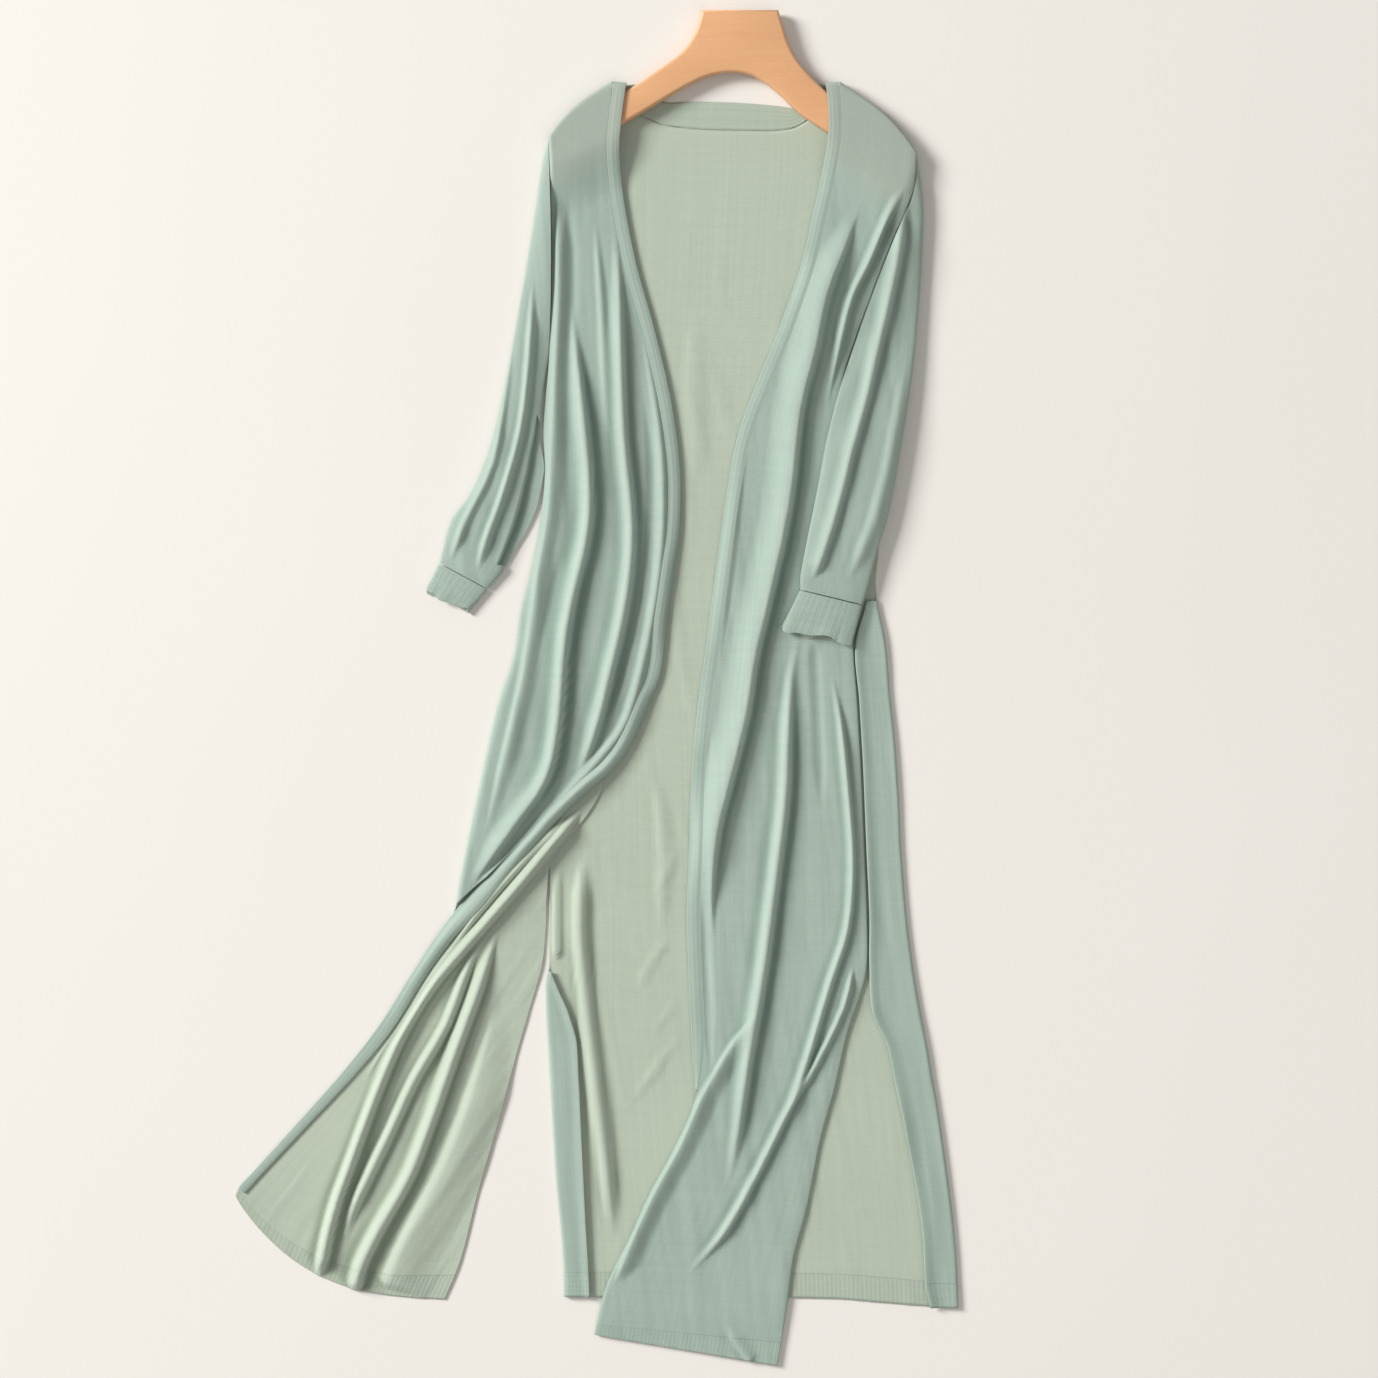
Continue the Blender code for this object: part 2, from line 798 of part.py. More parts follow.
def back_point(y, u):
    """A point of the back's underside, which is its right side. The flaps' folds lift its two sides."""
    left, right = back_side_x(y)
    x = left + (right - left) * u
    under = back_under(x, y)
    left_fold = FOLD_MIDDLE * smooth(RIGHT_FLAP_FIRST_Y + 8, RIGHT_FLAP_FIRST_Y, y)
    right_fold = FOLD_MIDDLE * smooth(LEFT_FLAP_FIRST_Y + 8, LEFT_FLAP_FIRST_Y, y)
    under += (left_fold - under) * (1 - round_over(x - left, 3.0))
    under += (right_fold - under) * (1 - round_over(right - x, 3.0))
    return Vector((x, y, under)) * MM


def flap_point(y, u, side):
    """A point of a flap's upper side. u runs from the fold at the outline to the free edge."""
    left, right = back_side_x(y)
    fold_x = left if side < 0 else right
    edge_rows = RIGHT_FLAP_EDGE_X if side < 0 else LEFT_FLAP_EDGE_X
    edge_x = keyed(edge_rows, y)[0]
    x = fold_x + (edge_x - fold_x) * u
    top = FOLD_MIDDLE + (FLAP_TOP - FOLD_MIDDLE) * round_over(abs(x - fold_x), 3.0)
    return Vector((x, y, top)) * MM


# Building meshes
def columns(width, count, near_start, near_end):
    """count shares from 0 to 1: the second and the last but one lie a set distance from the ends."""
    first = min(near_start / width, 0.5 / count)
    last = 1 - min(near_end / width, 0.5 / count)
    inner = [first + (last - first) * i / (count - 3) for i in range(count - 2)]
    return [0.0, *inner, 1.0]


def span(first, last, steps):
    return [first + (last - first) * i / steps for i in range(steps + 1)]


def add_grid(mesh, rows):
    """Adds a grid of faces through rows of points, and joins it to what is there at shared points."""
    made = [[mesh.verts.new(p) for p in row] for row in rows]
    for upper, lower in zip(made, made[1:]):
        for a, b, c, d in zip(upper, upper[1:], lower[1:], lower):
            mesh.faces.new((a, d, c, b))


def finish_object(name, mesh, material):
    data = bpy.data.meshes.new(name)
    mesh.to_mesh(data)
    mesh.free()
    data.materials.append(material)
    data.shade_smooth()
    made = bpy.data.objects.new(name, data)
    bpy.context.scene.collection.objects.link(made)
    return made


def sheet(name, grids, wall, material):
    """Cloth whose right side is the grids' outer face, with its wall grown inwards."""
    mesh = bmesh.new()
    for rows in grids:
        add_grid(mesh, rows)
    bmesh.ops.remove_doubles(mesh, verts=mesh.verts, dist=0.00002)
    made = finish_object(name, mesh, material)
    thick = made.modifiers.new("wall", "SOLIDIFY")
    thick.thickness = wall * MM
    thick.offset = -1.0
    thick.use_even_offset = True
    thick.use_rim = True
    return made


def tube(name, outer_rings, inner_rings, material):
    """A sleeve or cuff open at both ends: outer rings, inner rings and a rim at each end."""
    mesh = bmesh.new()
    outer = [[mesh.verts.new(p) for p in ring] for ring in outer_rings]
    inner = [[mesh.verts.new(p) for p in ring] for ring in inner_rings]
    for rings in (outer, inner):
        for one, other in zip(rings, rings[1:]):
            for i in range(len(one)):
                j = (i + 1) % len(one)
                mesh.faces.new((one[i], one[j], other[j], other[i]))
    for end in (0, -1):
        for i in range(len(outer[end])):
            j = (i + 1) % len(outer[end])
            mesh.faces.new((outer[end][i], outer[end][j], inner[end][j], inner[end][i]))
    bmesh.ops.recalc_face_normals(mesh, faces=mesh.faces)
    return finish_object(name, mesh, material)


def material(name, colour, roughness):
    made = bpy.data.materials.new(name)
    made.use_nodes = True
    shader = made.node_tree.nodes["Principled BSDF"]
    shader.inputs["Base Color"].default_value = colour
    shader.inputs["Roughness"].default_value = roughness
    shader.inputs["Metallic"].default_value = 0.0
    return made


KNIT = material("sage_knit", SAGE, 0.85)
RIB = material("sage_rib", SAGE_RIB, 0.9)
WOOD = material("beech_wood", BEECH, 0.45)

TUBE_EDGE = 3.0


def tube_ring(row, folds, count, inset, rib, bend=None):
    """One ring of a flattened tube. inset moves it inwards all round, and rib raises every other point.
    bend gives how far the ring's line is bent sideways at a share of the way along it."""
    outer_x, outer_y, inner_x, inner_y, outer_low, inner_low, outer_high, inner_high = row
    start = Vector((outer_x, outer_y))
    end = Vector((inner_x, inner_y))
    along = (end - start).normalized()
    start, end = start + along * inset, end - along * inset
    ring = []
    for i in range(count):
        angle = 2 * math.pi * i / count
        share = 0.5 - 0.5 * math.cos(angle)
        place = start.lerp(end, share)
        if bend:
            place = place + bend(share)
        low = outer_low + (inner_low - outer_low) * share
        high = outer_high + (inner_high - outer_high) * share
        swell = abs(math.sin(angle))
        raised = rib * (i % 2)
        if math.sin(angle) >= 0:
            z = low + TUBE_EDGE + (high - inset - TUBE_EDGE) * swell ** 0.6 + raised
            z += fold_height(folds, place.x, place.y) * swell
        else:
            z = low + TUBE_EDGE + (inset - TUBE_EDGE) * swell ** 0.5
        ring.append(Vector((place.x, place.y, z)) * MM)
    return ring


def armhole_bend(head, side, last_at, gap, at):
    """A sleeve's head follows the curve of the front's armhole, and its rings straighten further down."""
    kept = smooth(4.5, 0.0, at)

    def bend(share):
        chord = Vector(head[0:2]).lerp(Vector(head[2:4]), share)
        armhole = Vector(catmull(side, 0.1 + share * (last_at - 0.1))) + Vector(gap)
        return (armhole - chord) * kept

    return bend


def right_armhole_bend(at):
    return armhole_bend(RIGHT_SLEEVE[0], RIGHT_SIDE, 4.0, (-0.6, 0.0), at)


def left_armhole_bend(at):
    return armhole_bend(LEFT_SLEEVE[0], LEFT_SIDE, 5.0, (0.7, -0.3), at)


def sleeve(name, table, folds, sections, count, bend_at=None):
    outer, inner = [], []
    for at in span(0, len(table) - 1, sections):
        bend = bend_at(at) if bend_at else None
        outer.append(tube_ring(catmull(table, at), folds, count, 0.0, 0.0, bend))
        inner.append(tube_ring(catmull(table, at), folds, count, KNIT_WALL, 0.0, bend))
    return tube(name, outer, inner, KNIT)


def cuff(name, table):
    around = 2 * math.dist(table[0][0:2], table[0][2:4])
    count = 2 * round(around / CUFF_RIB_PITCH)
    places = span(0, 1, 1)
    outer = [tube_ring(catmull(table, at), [], count, 0.0, CUFF_RIB_HEIGHT) for at in places]
    inner = [tube_ring(catmull(table, at), [], count, CUFF_WALL, 0.0) for at in places]
    return tube(name, outer, inner, RIB)


# Panels
TOP_PLACES = [0.0, 0.03, 0.08, 0.16, 0.4, 0.7]
RIGHT_PLACES = TOP_PLACES + span(1.0, 9.0, 16) + span(9.0, 13.0, 8)[1:]
RIGHT_PLACES += [13.25, 13.5, 13.75, 14.0, 14.3, 14.6, RIGHT_TIP_AT]
FAN_PLACES = [15.2, 15.6] + span(16.0, TURNED_HEM_AT - 0.03, 11)
LEFT_LOWER_AT = 18.0
LEFT_PLACES = TOP_PLACES + span(1.0, 17.0, 24) + [17.5, LEFT_LOWER_AT]
LEFT_TUCK_PLACES = span(LEFT_LOWER_AT, LEFT_HEM_AT - 0.02, 6)


def right_upper_row(at):
    edge_at = rung(RIGHT_RUNGS, at)[0]
    width = math.dist(catmull(RIGHT_SIDE, at), catmull(RIGHT_SEAM, edge_at))
    return [right_upper_point(at, u) for u in columns(width, 14, 2.5, 4.0)]


def turned_row(at):
    inner_x, inner_y, _sag = turned_rung(at)
    width = math.dist(catmull(RIGHT_SIDE, at), (inner_x, inner_y))
    row = [turned_point(at, u) for u in columns(width, 15, 2.5, 4.0)]
    if at <= RIGHT_TIP_AT:
        row[0] = right_upper_point(at, 0.0)
    return row[::-1]


def right_front():
    upper = [right_upper_row(at) for at in RIGHT_PLACES]
    turned_places = [at for at in RIGHT_PLACES if at >= TURNED_FIRST_AT] + FAN_PLACES
    turned = [turned_row(at) for at in turned_places]
    return sheet("right_front", [upper, turned], KNIT_WALL, KNIT)


def right_front_hem():
    rows = [turned_row(at) for at in span(TURNED_HEM_AT, TURNED_LAST_AT, 2)]
    return sheet("right_front_hem", [rows], RIB_WALL - 0.3, RIB)


def left_row(at):
    edge_at = rung(LEFT_RUNGS, at)[0]
    width = math.dist(catmull(LEFT_SIDE, at), catmull(LEFT_SEAM, edge_at))
    return [left_front_point(at, u) for u in columns(width, 16, 3.0, 3.0)]


def tuck_row(at):
    row = [left_tuck_point(at, u) for u in (1.0, 0.5, 0.2)]
    return row + [left_front_point(at, 0.0)]


def left_front():
    upper = [left_row(at) for at in LEFT_PLACES + LEFT_TUCK_PLACES[1:]]
    tuck = [tuck_row(at) for at in LEFT_TUCK_PLACES]
    return sheet("left_front", [upper, tuck], KNIT_WALL, KNIT)


def left_front_hem():
    places = span(LEFT_HEM_AT, LEFT_LAST_AT, 2)
    upper = [left_row(at) for at in places]
    tuck = [tuck_row(at) for at in places]
    return sheet("left_front_hem", [upper, tuck], RIB_WALL - 0.3, RIB)


def right_front_band():
    places = [rung(RIGHT_RUNGS, at)[0] for at in RIGHT_PLACES]
    places += span(19.0, len(RIGHT_EDGE) - 1, 14)
    rows = [[right_band_point(at, u) for u in span(0, 1, 3)] for at in places]
    return sheet("right_front_band", [rows], RIB_WALL - 0.3, RIB)


def left_front_band():
    places = [rung(LEFT_RUNGS, at)[0] for at in LEFT_PLACES[:-1]] + [19.8]
    rows = [[left_band_point(at, u) for u in span(0, 1, 3)] for at in places]
    return sheet("left_front_band", [rows], RIB_WALL - 0.3, RIB)


FLAP_SHARES = (0.0, 0.12, 0.5, 1.0)


def back_rows(rows):
    """Rows of the back and of its two flaps, which share the points of the folds."""
    main, right_flap, left_flap = [], [], []
    columns_of_back = back_columns()
    for row in rows:
        points = [back_point(back_row_y(row, column), column[0]) for column in columns_of_back]
        main.append(points)
        y_right = back_row_y(row, columns_of_back[0])
        y_left = back_row_y(row, columns_of_back[-1])
        if y_right <= RIGHT_FLAP_FIRST_Y + 0.01:
            flap = [flap_point(y_right, u, -1) for u in FLAP_SHARES]
            right_flap.append([points[0], *flap[1:]][::-1])
        if y_left <= LEFT_FLAP_FIRST_Y + 0.01:
            flap = [flap_point(y_left, u, 1) for u in FLAP_SHARES]
            left_flap.append([points[-1], *flap[1:]])
    return [[row[::-1] for row in grid] for grid in (main, right_flap, left_flap)]


def row_at(column, y):
    """The row of the back that passes through y at a column."""
    share, top = column
    foot = keyed(BACK_SEAM_Y, share)[0]
    return (top - y) / (top - foot)


def back():
    columns_of_back = back_columns()
    first_right = row_at(columns_of_back[0], RIGHT_FLAP_FIRST_Y)
    first_left = row_at(columns_of_back[-1], LEFT_FLAP_FIRST_Y)
    rows = span(0.0, first_left, 9) + span(first_left, first_right, 9)[1:]
    rows += [first_right + 0.014, first_right + 0.035] + span(first_right + 0.06, 0.9996, 6)
    return sheet("back", back_rows(rows), KNIT_WALL, KNIT)


def back_hem():
    depth = BACK_HEM_DROP / (557 + 585)
    return sheet("back_hem", back_rows(span(1.0, 1.0 + depth, 2)), RIB_WALL - 0.3, RIB)


def neck_band():
    rows = []
    for free_x, free_y, seam_x, seam_y, rise in NECK_BAND:
        free = Vector((free_x, free_y))
        seam = Vector((seam_x, seam_y))
        rows.append([Vector((*free.lerp(seam, u), rise)) * MM for u in span(0, 1, 2)])
    return sheet("neck_band", [rows], RIB_WALL - 0.3, RIB)


# Hanger: a flat beech board with rounded edges
def hanger():
    line = bpy.data.curves.new("wooden_hanger", "CURVE")
    line.dimensions = "2D"
    line.fill_mode = "BOTH"
    spline = line.splines.new("POLY")
    outline = hanger_outline()
    spline.points.add(len(outline) - 1)
    for point, (x, y) in zip(spline.points, outline):
        point.co = (x * MM, y * MM, 0, 1)
    spline.use_cyclic_u = True
    line.bevel_depth = HANGER_EDGE_ROUND * MM
    line.bevel_resolution = 1
    line.offset = -HANGER_EDGE_ROUND * MM
    line.extrude = (HANGER_THICK / 2 - HANGER_EDGE_ROUND) * MM
    line.materials.append(WOOD)
    made = bpy.data.objects.new("wooden_hanger", line)
    made.location.z = (HANGER_BOTTOM + HANGER_THICK / 2) * MM
    bpy.context.scene.collection.objects.link(made)
    return made


def hanger_outline():
    """The board's outline, smooth everywhere but at the neck's two top corners."""
    points = HANGER_OUTLINE[1:] + HANGER_OUTLINE[:1]
    smoothed = [tuple(catmull(points, at)) for at in span(0, len(points) - 1, 2 * (len(points) - 1))]
    return smoothed


right_front()
right_front_hem()
right_front_band()
left_front()
left_front_hem()
left_front_band()
back()
back_hem()
neck_band()
sleeve("right_sleeve", RIGHT_SLEEVE, RIGHT_SLEEVE_FOLDS, 16, 22, right_armhole_bend)
sleeve("left_sleeve", LEFT_SLEEVE, LEFT_SLEEVE_FOLDS, 16, 22, left_armhole_bend)
cuff("right_cuff", RIGHT_CUFF)
cuff("left_cuff", LEFT_CUFF)
hanger()
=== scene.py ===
# %% [markdown]
# # A duster cardigan laid flat
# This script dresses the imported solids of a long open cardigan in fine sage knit.
# The garment lies on a pale surface with a flat wooden hanger in its shoulders.
# Every piece of cloth starts as a plain grid, is bent into its laid shape by short tables of sizes,
# and gets its wall from a Solidify modifier, so that it is a thin shell with a right and a wrong side.

# %% Load the frame
import math

import bmesh
import bpy
import numpy as np
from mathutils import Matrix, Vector, noise


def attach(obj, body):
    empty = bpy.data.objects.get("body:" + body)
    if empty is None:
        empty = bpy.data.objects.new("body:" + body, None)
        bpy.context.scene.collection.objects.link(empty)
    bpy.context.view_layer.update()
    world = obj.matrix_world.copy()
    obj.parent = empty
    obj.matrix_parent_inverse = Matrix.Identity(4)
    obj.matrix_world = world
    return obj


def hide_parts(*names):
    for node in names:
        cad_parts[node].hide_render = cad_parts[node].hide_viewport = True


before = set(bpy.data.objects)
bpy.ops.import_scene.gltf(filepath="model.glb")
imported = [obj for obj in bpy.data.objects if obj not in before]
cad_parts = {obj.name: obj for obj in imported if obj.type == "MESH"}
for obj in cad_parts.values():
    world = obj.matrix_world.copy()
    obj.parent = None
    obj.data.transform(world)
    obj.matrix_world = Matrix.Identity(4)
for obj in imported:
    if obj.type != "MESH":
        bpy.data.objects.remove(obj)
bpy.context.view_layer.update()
MM = 0.001

# %% [markdown]
# ## Camera, surface and light
# The photograph looks straight down on the cardigan, so the camera hangs above the middle of the picture.
# The light is large and low on the left, with a little from the neck's side. A low light is what shows folds
# in flat cloth: slopes that face it go pale and slopes that face away go dark.

# %% Camera, surface and light
PHOTO_WIDTH = 1.378
CAMERA_HEIGHT = 3.2
PHOTO_MIDDLE = (0.092, 0.0)

camera_data = bpy.data.cameras.new("above")
camera_data.sensor_width = 36.0
camera_data.lens = 18.0 * CAMERA_HEIGHT / (PHOTO_WIDTH / 2)
camera_data.clip_end = 50.0
camera = bpy.data.objects.new("above", camera_data)
camera.location = (*PHOTO_MIDDLE, CAMERA_HEIGHT)
bpy.context.scene.collection.objects.link(camera)
bpy.context.scene.camera = camera
bpy.context.scene.view_settings.view_transform = "Standard"


def area_light(name, place, target, size, power, colour):
    """A soft square lamp that looks at a target."""
    data = bpy.data.lights.new(name, "AREA")
    data.energy = power
    data.size = size
    data.color = colour
    lamp = bpy.data.objects.new(name, data)
    lamp.location = place
    lamp.rotation_euler = (Vector(target) - Vector(place)).to_track_quat("-Z", "Y").to_euler()
    bpy.context.scene.collection.objects.link(lamp)
    return lamp


area_light("window", (-7.8, 3.6, 4.9), (0.05, 0.0, 0.0), 3.4, 1290.0, (1.0, 0.985, 0.955))
area_light("room", (1.6, -1.6, 3.4), (0.1, 0.0, 0.0), 3.0, 30.0, (1.0, 0.95, 0.88))

world = bpy.data.worlds.new("room_air")
world.use_nodes = True
world.node_tree.nodes["Background"].inputs["Color"].default_value = (1.0, 0.985, 0.96, 1.0)
world.node_tree.nodes["Background"].inputs["Strength"].default_value = 0.31
bpy.context.scene.world = world

surface_mesh = bmesh.new()
bmesh.ops.create_grid(surface_mesh, x_segments=4, y_segments=4, size=4.0)
surface_data = bpy.data.meshes.new("pale_surface")
surface_mesh.to_mesh(surface_data)
surface_mesh.free()
surface = bpy.data.objects.new("pale_surface", surface_data)
surface.location.z = -0.0004
bpy.context.scene.collection.objects.link(surface)

# %% [markdown]
# ## Materials
# A knit is rows of loops. Up close each loop is a small V, and from further away only faint rows and columns
# are left. The pattern is made from each piece's own map, which is in metres along the cloth, so the stitches
# follow the panel where it turns and folds. The wrong side is paler and yellower, as thin cloth over a cream
# surface is, and gets its own material through the Solidify modifier's inner face.


# %% Small helpers for node materials
def new_material(name):
    """(material, its node tree, its shader) with an empty Principled material."""
    made = bpy.data.materials.new(name)
    made.use_nodes = True
    tree = made.node_tree
    return made, tree, tree.nodes["Principled BSDF"]


def math_node(tree, operation, first, second=None):
    """A Math node. Its inputs are numbers or other nodes' outputs."""
    node = tree.nodes.new("ShaderNodeMath")
    node.operation = operation
    for socket, value in zip(node.inputs, (first, second)):
        if value is None:
            continue
        if isinstance(value, (int, float)):
            socket.default_value = value
        else:
            tree.links.new(value, socket)
    return node.outputs[0]


def times(tree, first, second):
    return math_node(tree, "MULTIPLY", first, second)


def plus(tree, first, second):
    return math_node(tree, "ADD", first, second)


def attribute_on(tree, name):
    """The value of a vertex attribute."""
    node = tree.nodes.new("ShaderNodeAttribute")
    node.attribute_name = name
    return node.outputs["Fac"]


def mix_colours(tree, share, low, high):
    """A colour between two colours or colour outputs."""
    node = tree.nodes.new("ShaderNodeMix")
    node.data_type = "RGBA"
    tree.links.new(share, node.inputs["Factor"])
    for socket, value in ((node.inputs[6], low), (node.inputs[7], high)):
        if isinstance(value, tuple):
            socket.default_value = value
        else:
            tree.links.new(value, socket)
    return node.outputs[2]


def noise_on(tree, vector, scale, detail=3.0, roughness=0.55):
    node = tree.nodes.new("ShaderNodeTexNoise")
    node.inputs["Scale"].default_value = scale
    node.inputs["Detail"].default_value = detail
    node.inputs["Roughness"].default_value = roughness
    tree.links.new(vector, node.inputs["Vector"])
    return node.outputs["Fac"]


def stretched(tree, vector, scale):
    node = tree.nodes.new("ShaderNodeMapping")
    node.inputs["Scale"].default_value = scale
    tree.links.new(vector, node.inputs["Vector"])
    return node.outputs["Vector"]


# %% Knit and rib materials
WALE = 0.0016
COURSE = 0.0013
RIB_PITCH = 0.0042
WOOD_TINT = (0.44, 0.42, 0.36, 1.0)


def knit_material(name, pale, deep, shade, rib_depth=0.0, sheen=0.25):
    """Jersey or rib. pale and deep are the yarn's two tones, shade is the painted shade colour mixed into
    hollows between folds, and rib_depth is the strength of its ribs."""
    made, tree, shader = new_material(name)
    coordinates = tree.nodes.new("ShaderNodeTexCoord")
    cloth_map = coordinates.outputs["UV"]
    split = tree.nodes.new("ShaderNodeSeparateXYZ")
    tree.links.new(cloth_map, split.inputs[0])
    across, along = split.outputs[0], split.outputs[1]

    # Each loop leans left and right of its column, which bends the rows into a V
    column = math_node(tree, "SINE", times(tree, across, 2 * math.pi / WALE))
    lean = times(tree, math_node(tree, "ABSOLUTE", column), COURSE * 0.45)
    leaning = plus(tree, along, lean)
    row = math_node(tree, "SINE", times(tree, leaning, 2 * math.pi / COURSE))
    stitch = times(tree, row, math_node(tree, "ABSOLUTE", column))
    stitch = plus(tree, times(tree, stitch, 0.5), 0.5)

    # Uneven rows: bands of slightly tighter and looser courses
    rows = noise_on(tree, stretched(tree, cloth_map, (9.0, 260.0, 1.0)), 1.0, 2.0)
    columns = noise_on(tree, stretched(tree, cloth_map, (300.0, 5.0, 1.0)), 1.0, 2.0)
    cloud = noise_on(tree, coordinates.outputs["Object"], 9.0, 4.0)
    fuzz = noise_on(tree, coordinates.outputs["Object"], 900.0, 2.0, 0.7)
    share = plus(tree, times(tree, rows, 0.3), times(tree, cloud, 0.3))
    share = plus(tree, share, times(tree, columns, 0.4))
    share = plus(tree, share, times(tree, math_node(tree, "SUBTRACT", stitch, 0.5), 0.22))
    colour = mix_colours(tree, share, deep, pale)

    # Painted shade: hollows between folds keep less light than crests, so they are darkened towards the shade
    # colour
    colour = mix_colours(tree, times(tree, attribute_on(tree, "hollow"), 0.66), colour, shade)
    # Painted highlight: crests, whose fuzz stands up and catches the light, are paled towards a light sage
    colour = mix_colours(tree, times(tree, attribute_on(tree, "crest"), 0.22), colour, (0.62, 0.73, 0.65, 1.0))

    # Thin cloth over the hanger takes a little of the wood's colour
    colour = mix_colours(tree, times(tree, attribute_on(tree, "over_wood"), 0.3), colour, WOOD_TINT)
    tree.links.new(colour, shader.inputs["Base Color"])

    height = plus(tree, times(tree, stitch, 0.6), times(tree, fuzz, 0.4))
    if rib_depth:
        rib = math_node(tree, "SINE", times(tree, across, 2 * math.pi / RIB_PITCH))
        height = plus(tree, height, times(tree, rib, rib_depth))
    bump = tree.nodes.new("ShaderNodeBump")
    bump.inputs["Strength"].default_value = 0.55
    bump.inputs["Distance"].default_value = 0.0004
    tree.links.new(height, bump.inputs["Height"])
    tree.links.new(bump.outputs["Normal"], shader.inputs["Normal"])
    rough = plus(tree, times(tree, fuzz, 0.12), 0.74)
    tree.links.new(rough, shader.inputs["Roughness"])
    shader.inputs["Specular IOR Level"].default_value = 0.25
    shader.inputs["Sheen Weight"].default_value = sheen
    shader.inputs["Sheen Roughness"].default_value = 0.4
    shader.inputs["Sheen Tint"].default_value = (0.86, 0.95, 0.9, 1.0)
    return made


# Painted shade colours that hollows between folds are darkened towards, on the right side and the wrong side
OUT_SHADE = (0.105, 0.180, 0.140, 1.0)
IN_SHADE = (0.150, 0.205, 0.135, 1.0)
KNIT_OUT = knit_material("sage_jersey", (0.455, 0.560, 0.500, 1.0), (0.275, 0.366, 0.320, 1.0), OUT_SHADE)
KNIT_IN = knit_material("sage_jersey_wrong_side", (0.545, 0.622, 0.520, 1.0), (0.385, 0.448, 0.366, 1.0),
                        IN_SHADE)
RIB_OUT = knit_material("sage_rib", (0.445, 0.550, 0.488, 1.0), (0.268, 0.358, 0.312, 1.0), OUT_SHADE,
                        rib_depth=0.22)
RIB_IN = knit_material("sage_rib_wrong_side", (0.505, 0.585, 0.490, 1.0), (0.340, 0.405, 0.332, 1.0),
                       IN_SHADE, rib_depth=0.3)

# %% The surface's and the hanger's materials
SURFACE_MATERIAL, surface_tree, surface_shader = new_material("pale_paper")
surface_coordinates = surface_tree.nodes.new("ShaderNodeTexCoord")
tone = noise_on(surface_tree, surface_coordinates.outputs["Object"], 1.1, 2.0)
surface_colour = mix_colours(surface_tree, tone, (0.80, 0.775, 0.737, 1.0), (0.84, 0.822, 0.795, 1.0))
surface_tree.links.new(surface_colour, surface_shader.inputs["Base Color"])
surface_shader.inputs["Roughness"].default_value = 0.9
surface_shader.inputs["Specular IOR Level"].default_value = 0.1
surface.data.materials.append(SURFACE_MATERIAL)


def wood_material():
    """Light beech: long wavy grain, short dark flecks and a thin satin lacquer."""
    made, tree, shader = new_material("beech")
    coordinates = tree.nodes.new("ShaderNodeTexCoord")
    place = coordinates.outputs["Object"]
    broad = noise_on(tree, stretched(tree, place, (4.0, 34.0, 20.0)), 1.0, 4.0)
    fine = noise_on(tree, stretched(tree, place, (26.0, 420.0, 200.0)), 1.0, 3.0, 0.6)
    flecks = noise_on(tree, stretched(tree, place, (180.0, 1300.0, 900.0)), 1.0, 2.0, 0.6)
    share = plus(tree, times(tree, broad, 0.7), times(tree, fine, 0.3))
    colour = mix_colours(tree, share, (0.63, 0.305, 0.135, 1.0), (0.86, 0.50, 0.275, 1.0))
    dark = math_node(tree, "GREATER_THAN", flecks, 0.66)
    colour = mix_colours(tree, times(tree, dark, 0.35), colour, (0.40, 0.17, 0.07, 1.0))
    tree.links.new(colour, shader.inputs["Base Color"])
    bump = tree.nodes.new("ShaderNodeBump")
    bump.inputs["Strength"].default_value = 0.12
    bump.inputs["Distance"].default_value = 0.0003
    tree.links.new(fine, bump.inputs["Height"])
    tree.links.new(bump.outputs["Normal"], shader.inputs["Normal"])
    rough = plus(tree, times(tree, fine, 0.2), 0.32)
    tree.links.new(rough, shader.inputs["Roughness"])
    shader.inputs["Coat Weight"].default_value = 0.12
    shader.inputs["Coat Roughness"].default_value = 0.3
    return made


WOOD = wood_material()
print("materials", [m.name for m in bpy.data.materials])

# %% [markdown]
# ## Curves through short tables
# A garment's outline is a few measured places. A smooth curve through the rows of a table gives every place
# in between, so the tables stay short and the edges stay fair. Whole columns of points go through at once.


# %% Curves through tables
def curve(table, at):
    """Rows of a table at places that may lie between rows, as an array of points by columns."""
    rows = np.array(table, float)
    last = len(rows) - 1
    at = np.clip(np.asarray(at, float), 0.0, last)
    i = np.minimum(at.astype(int), last - 1)
    t = (at - i)[:, None]
    before, here = rows[np.maximum(i - 1, 0)], rows[i]
    after, beyond = rows[i + 1], rows[np.minimum(i + 2, last)]
    found = 2 * here + (after - before) * t
    found += (2 * before - 5 * here + 4 * after - beyond) * t**2
    found += (3 * here - before - 3 * after + beyond) * t**3
    return found / 2


def keyed(rows, key):
    """Smooth values from rows of (key, value, ...), whose keys rise or fall steadily."""
    rows = np.array(sorted(rows), float)
    key = np.clip(np.asarray(key, float), rows[0, 0], rows[-1, 0])
    i = np.clip(np.searchsorted(rows[:, 0], key, side="right") - 1, 0, len(rows) - 2)
    at = i + (key - rows[i, 0]) / (rows[i + 1, 0] - rows[i, 0])
    return curve(rows[:, 1:], at)


def smooth(low, high, value):
    """0 below low, 1 above high and an even S between them. low may be the larger."""
    t = np.clip((np.asarray(value, float) - low) / (high - low), 0.0, 1.0)
    return t * t * (3 - 2 * t)


def round_over(distance, reach):
    """The quarter circle that cloth makes as it turns over an edge."""
    t = np.clip(np.asarray(distance, float) / reach, 0.0, 1.0)
    return np.sqrt(t * (2 - t))


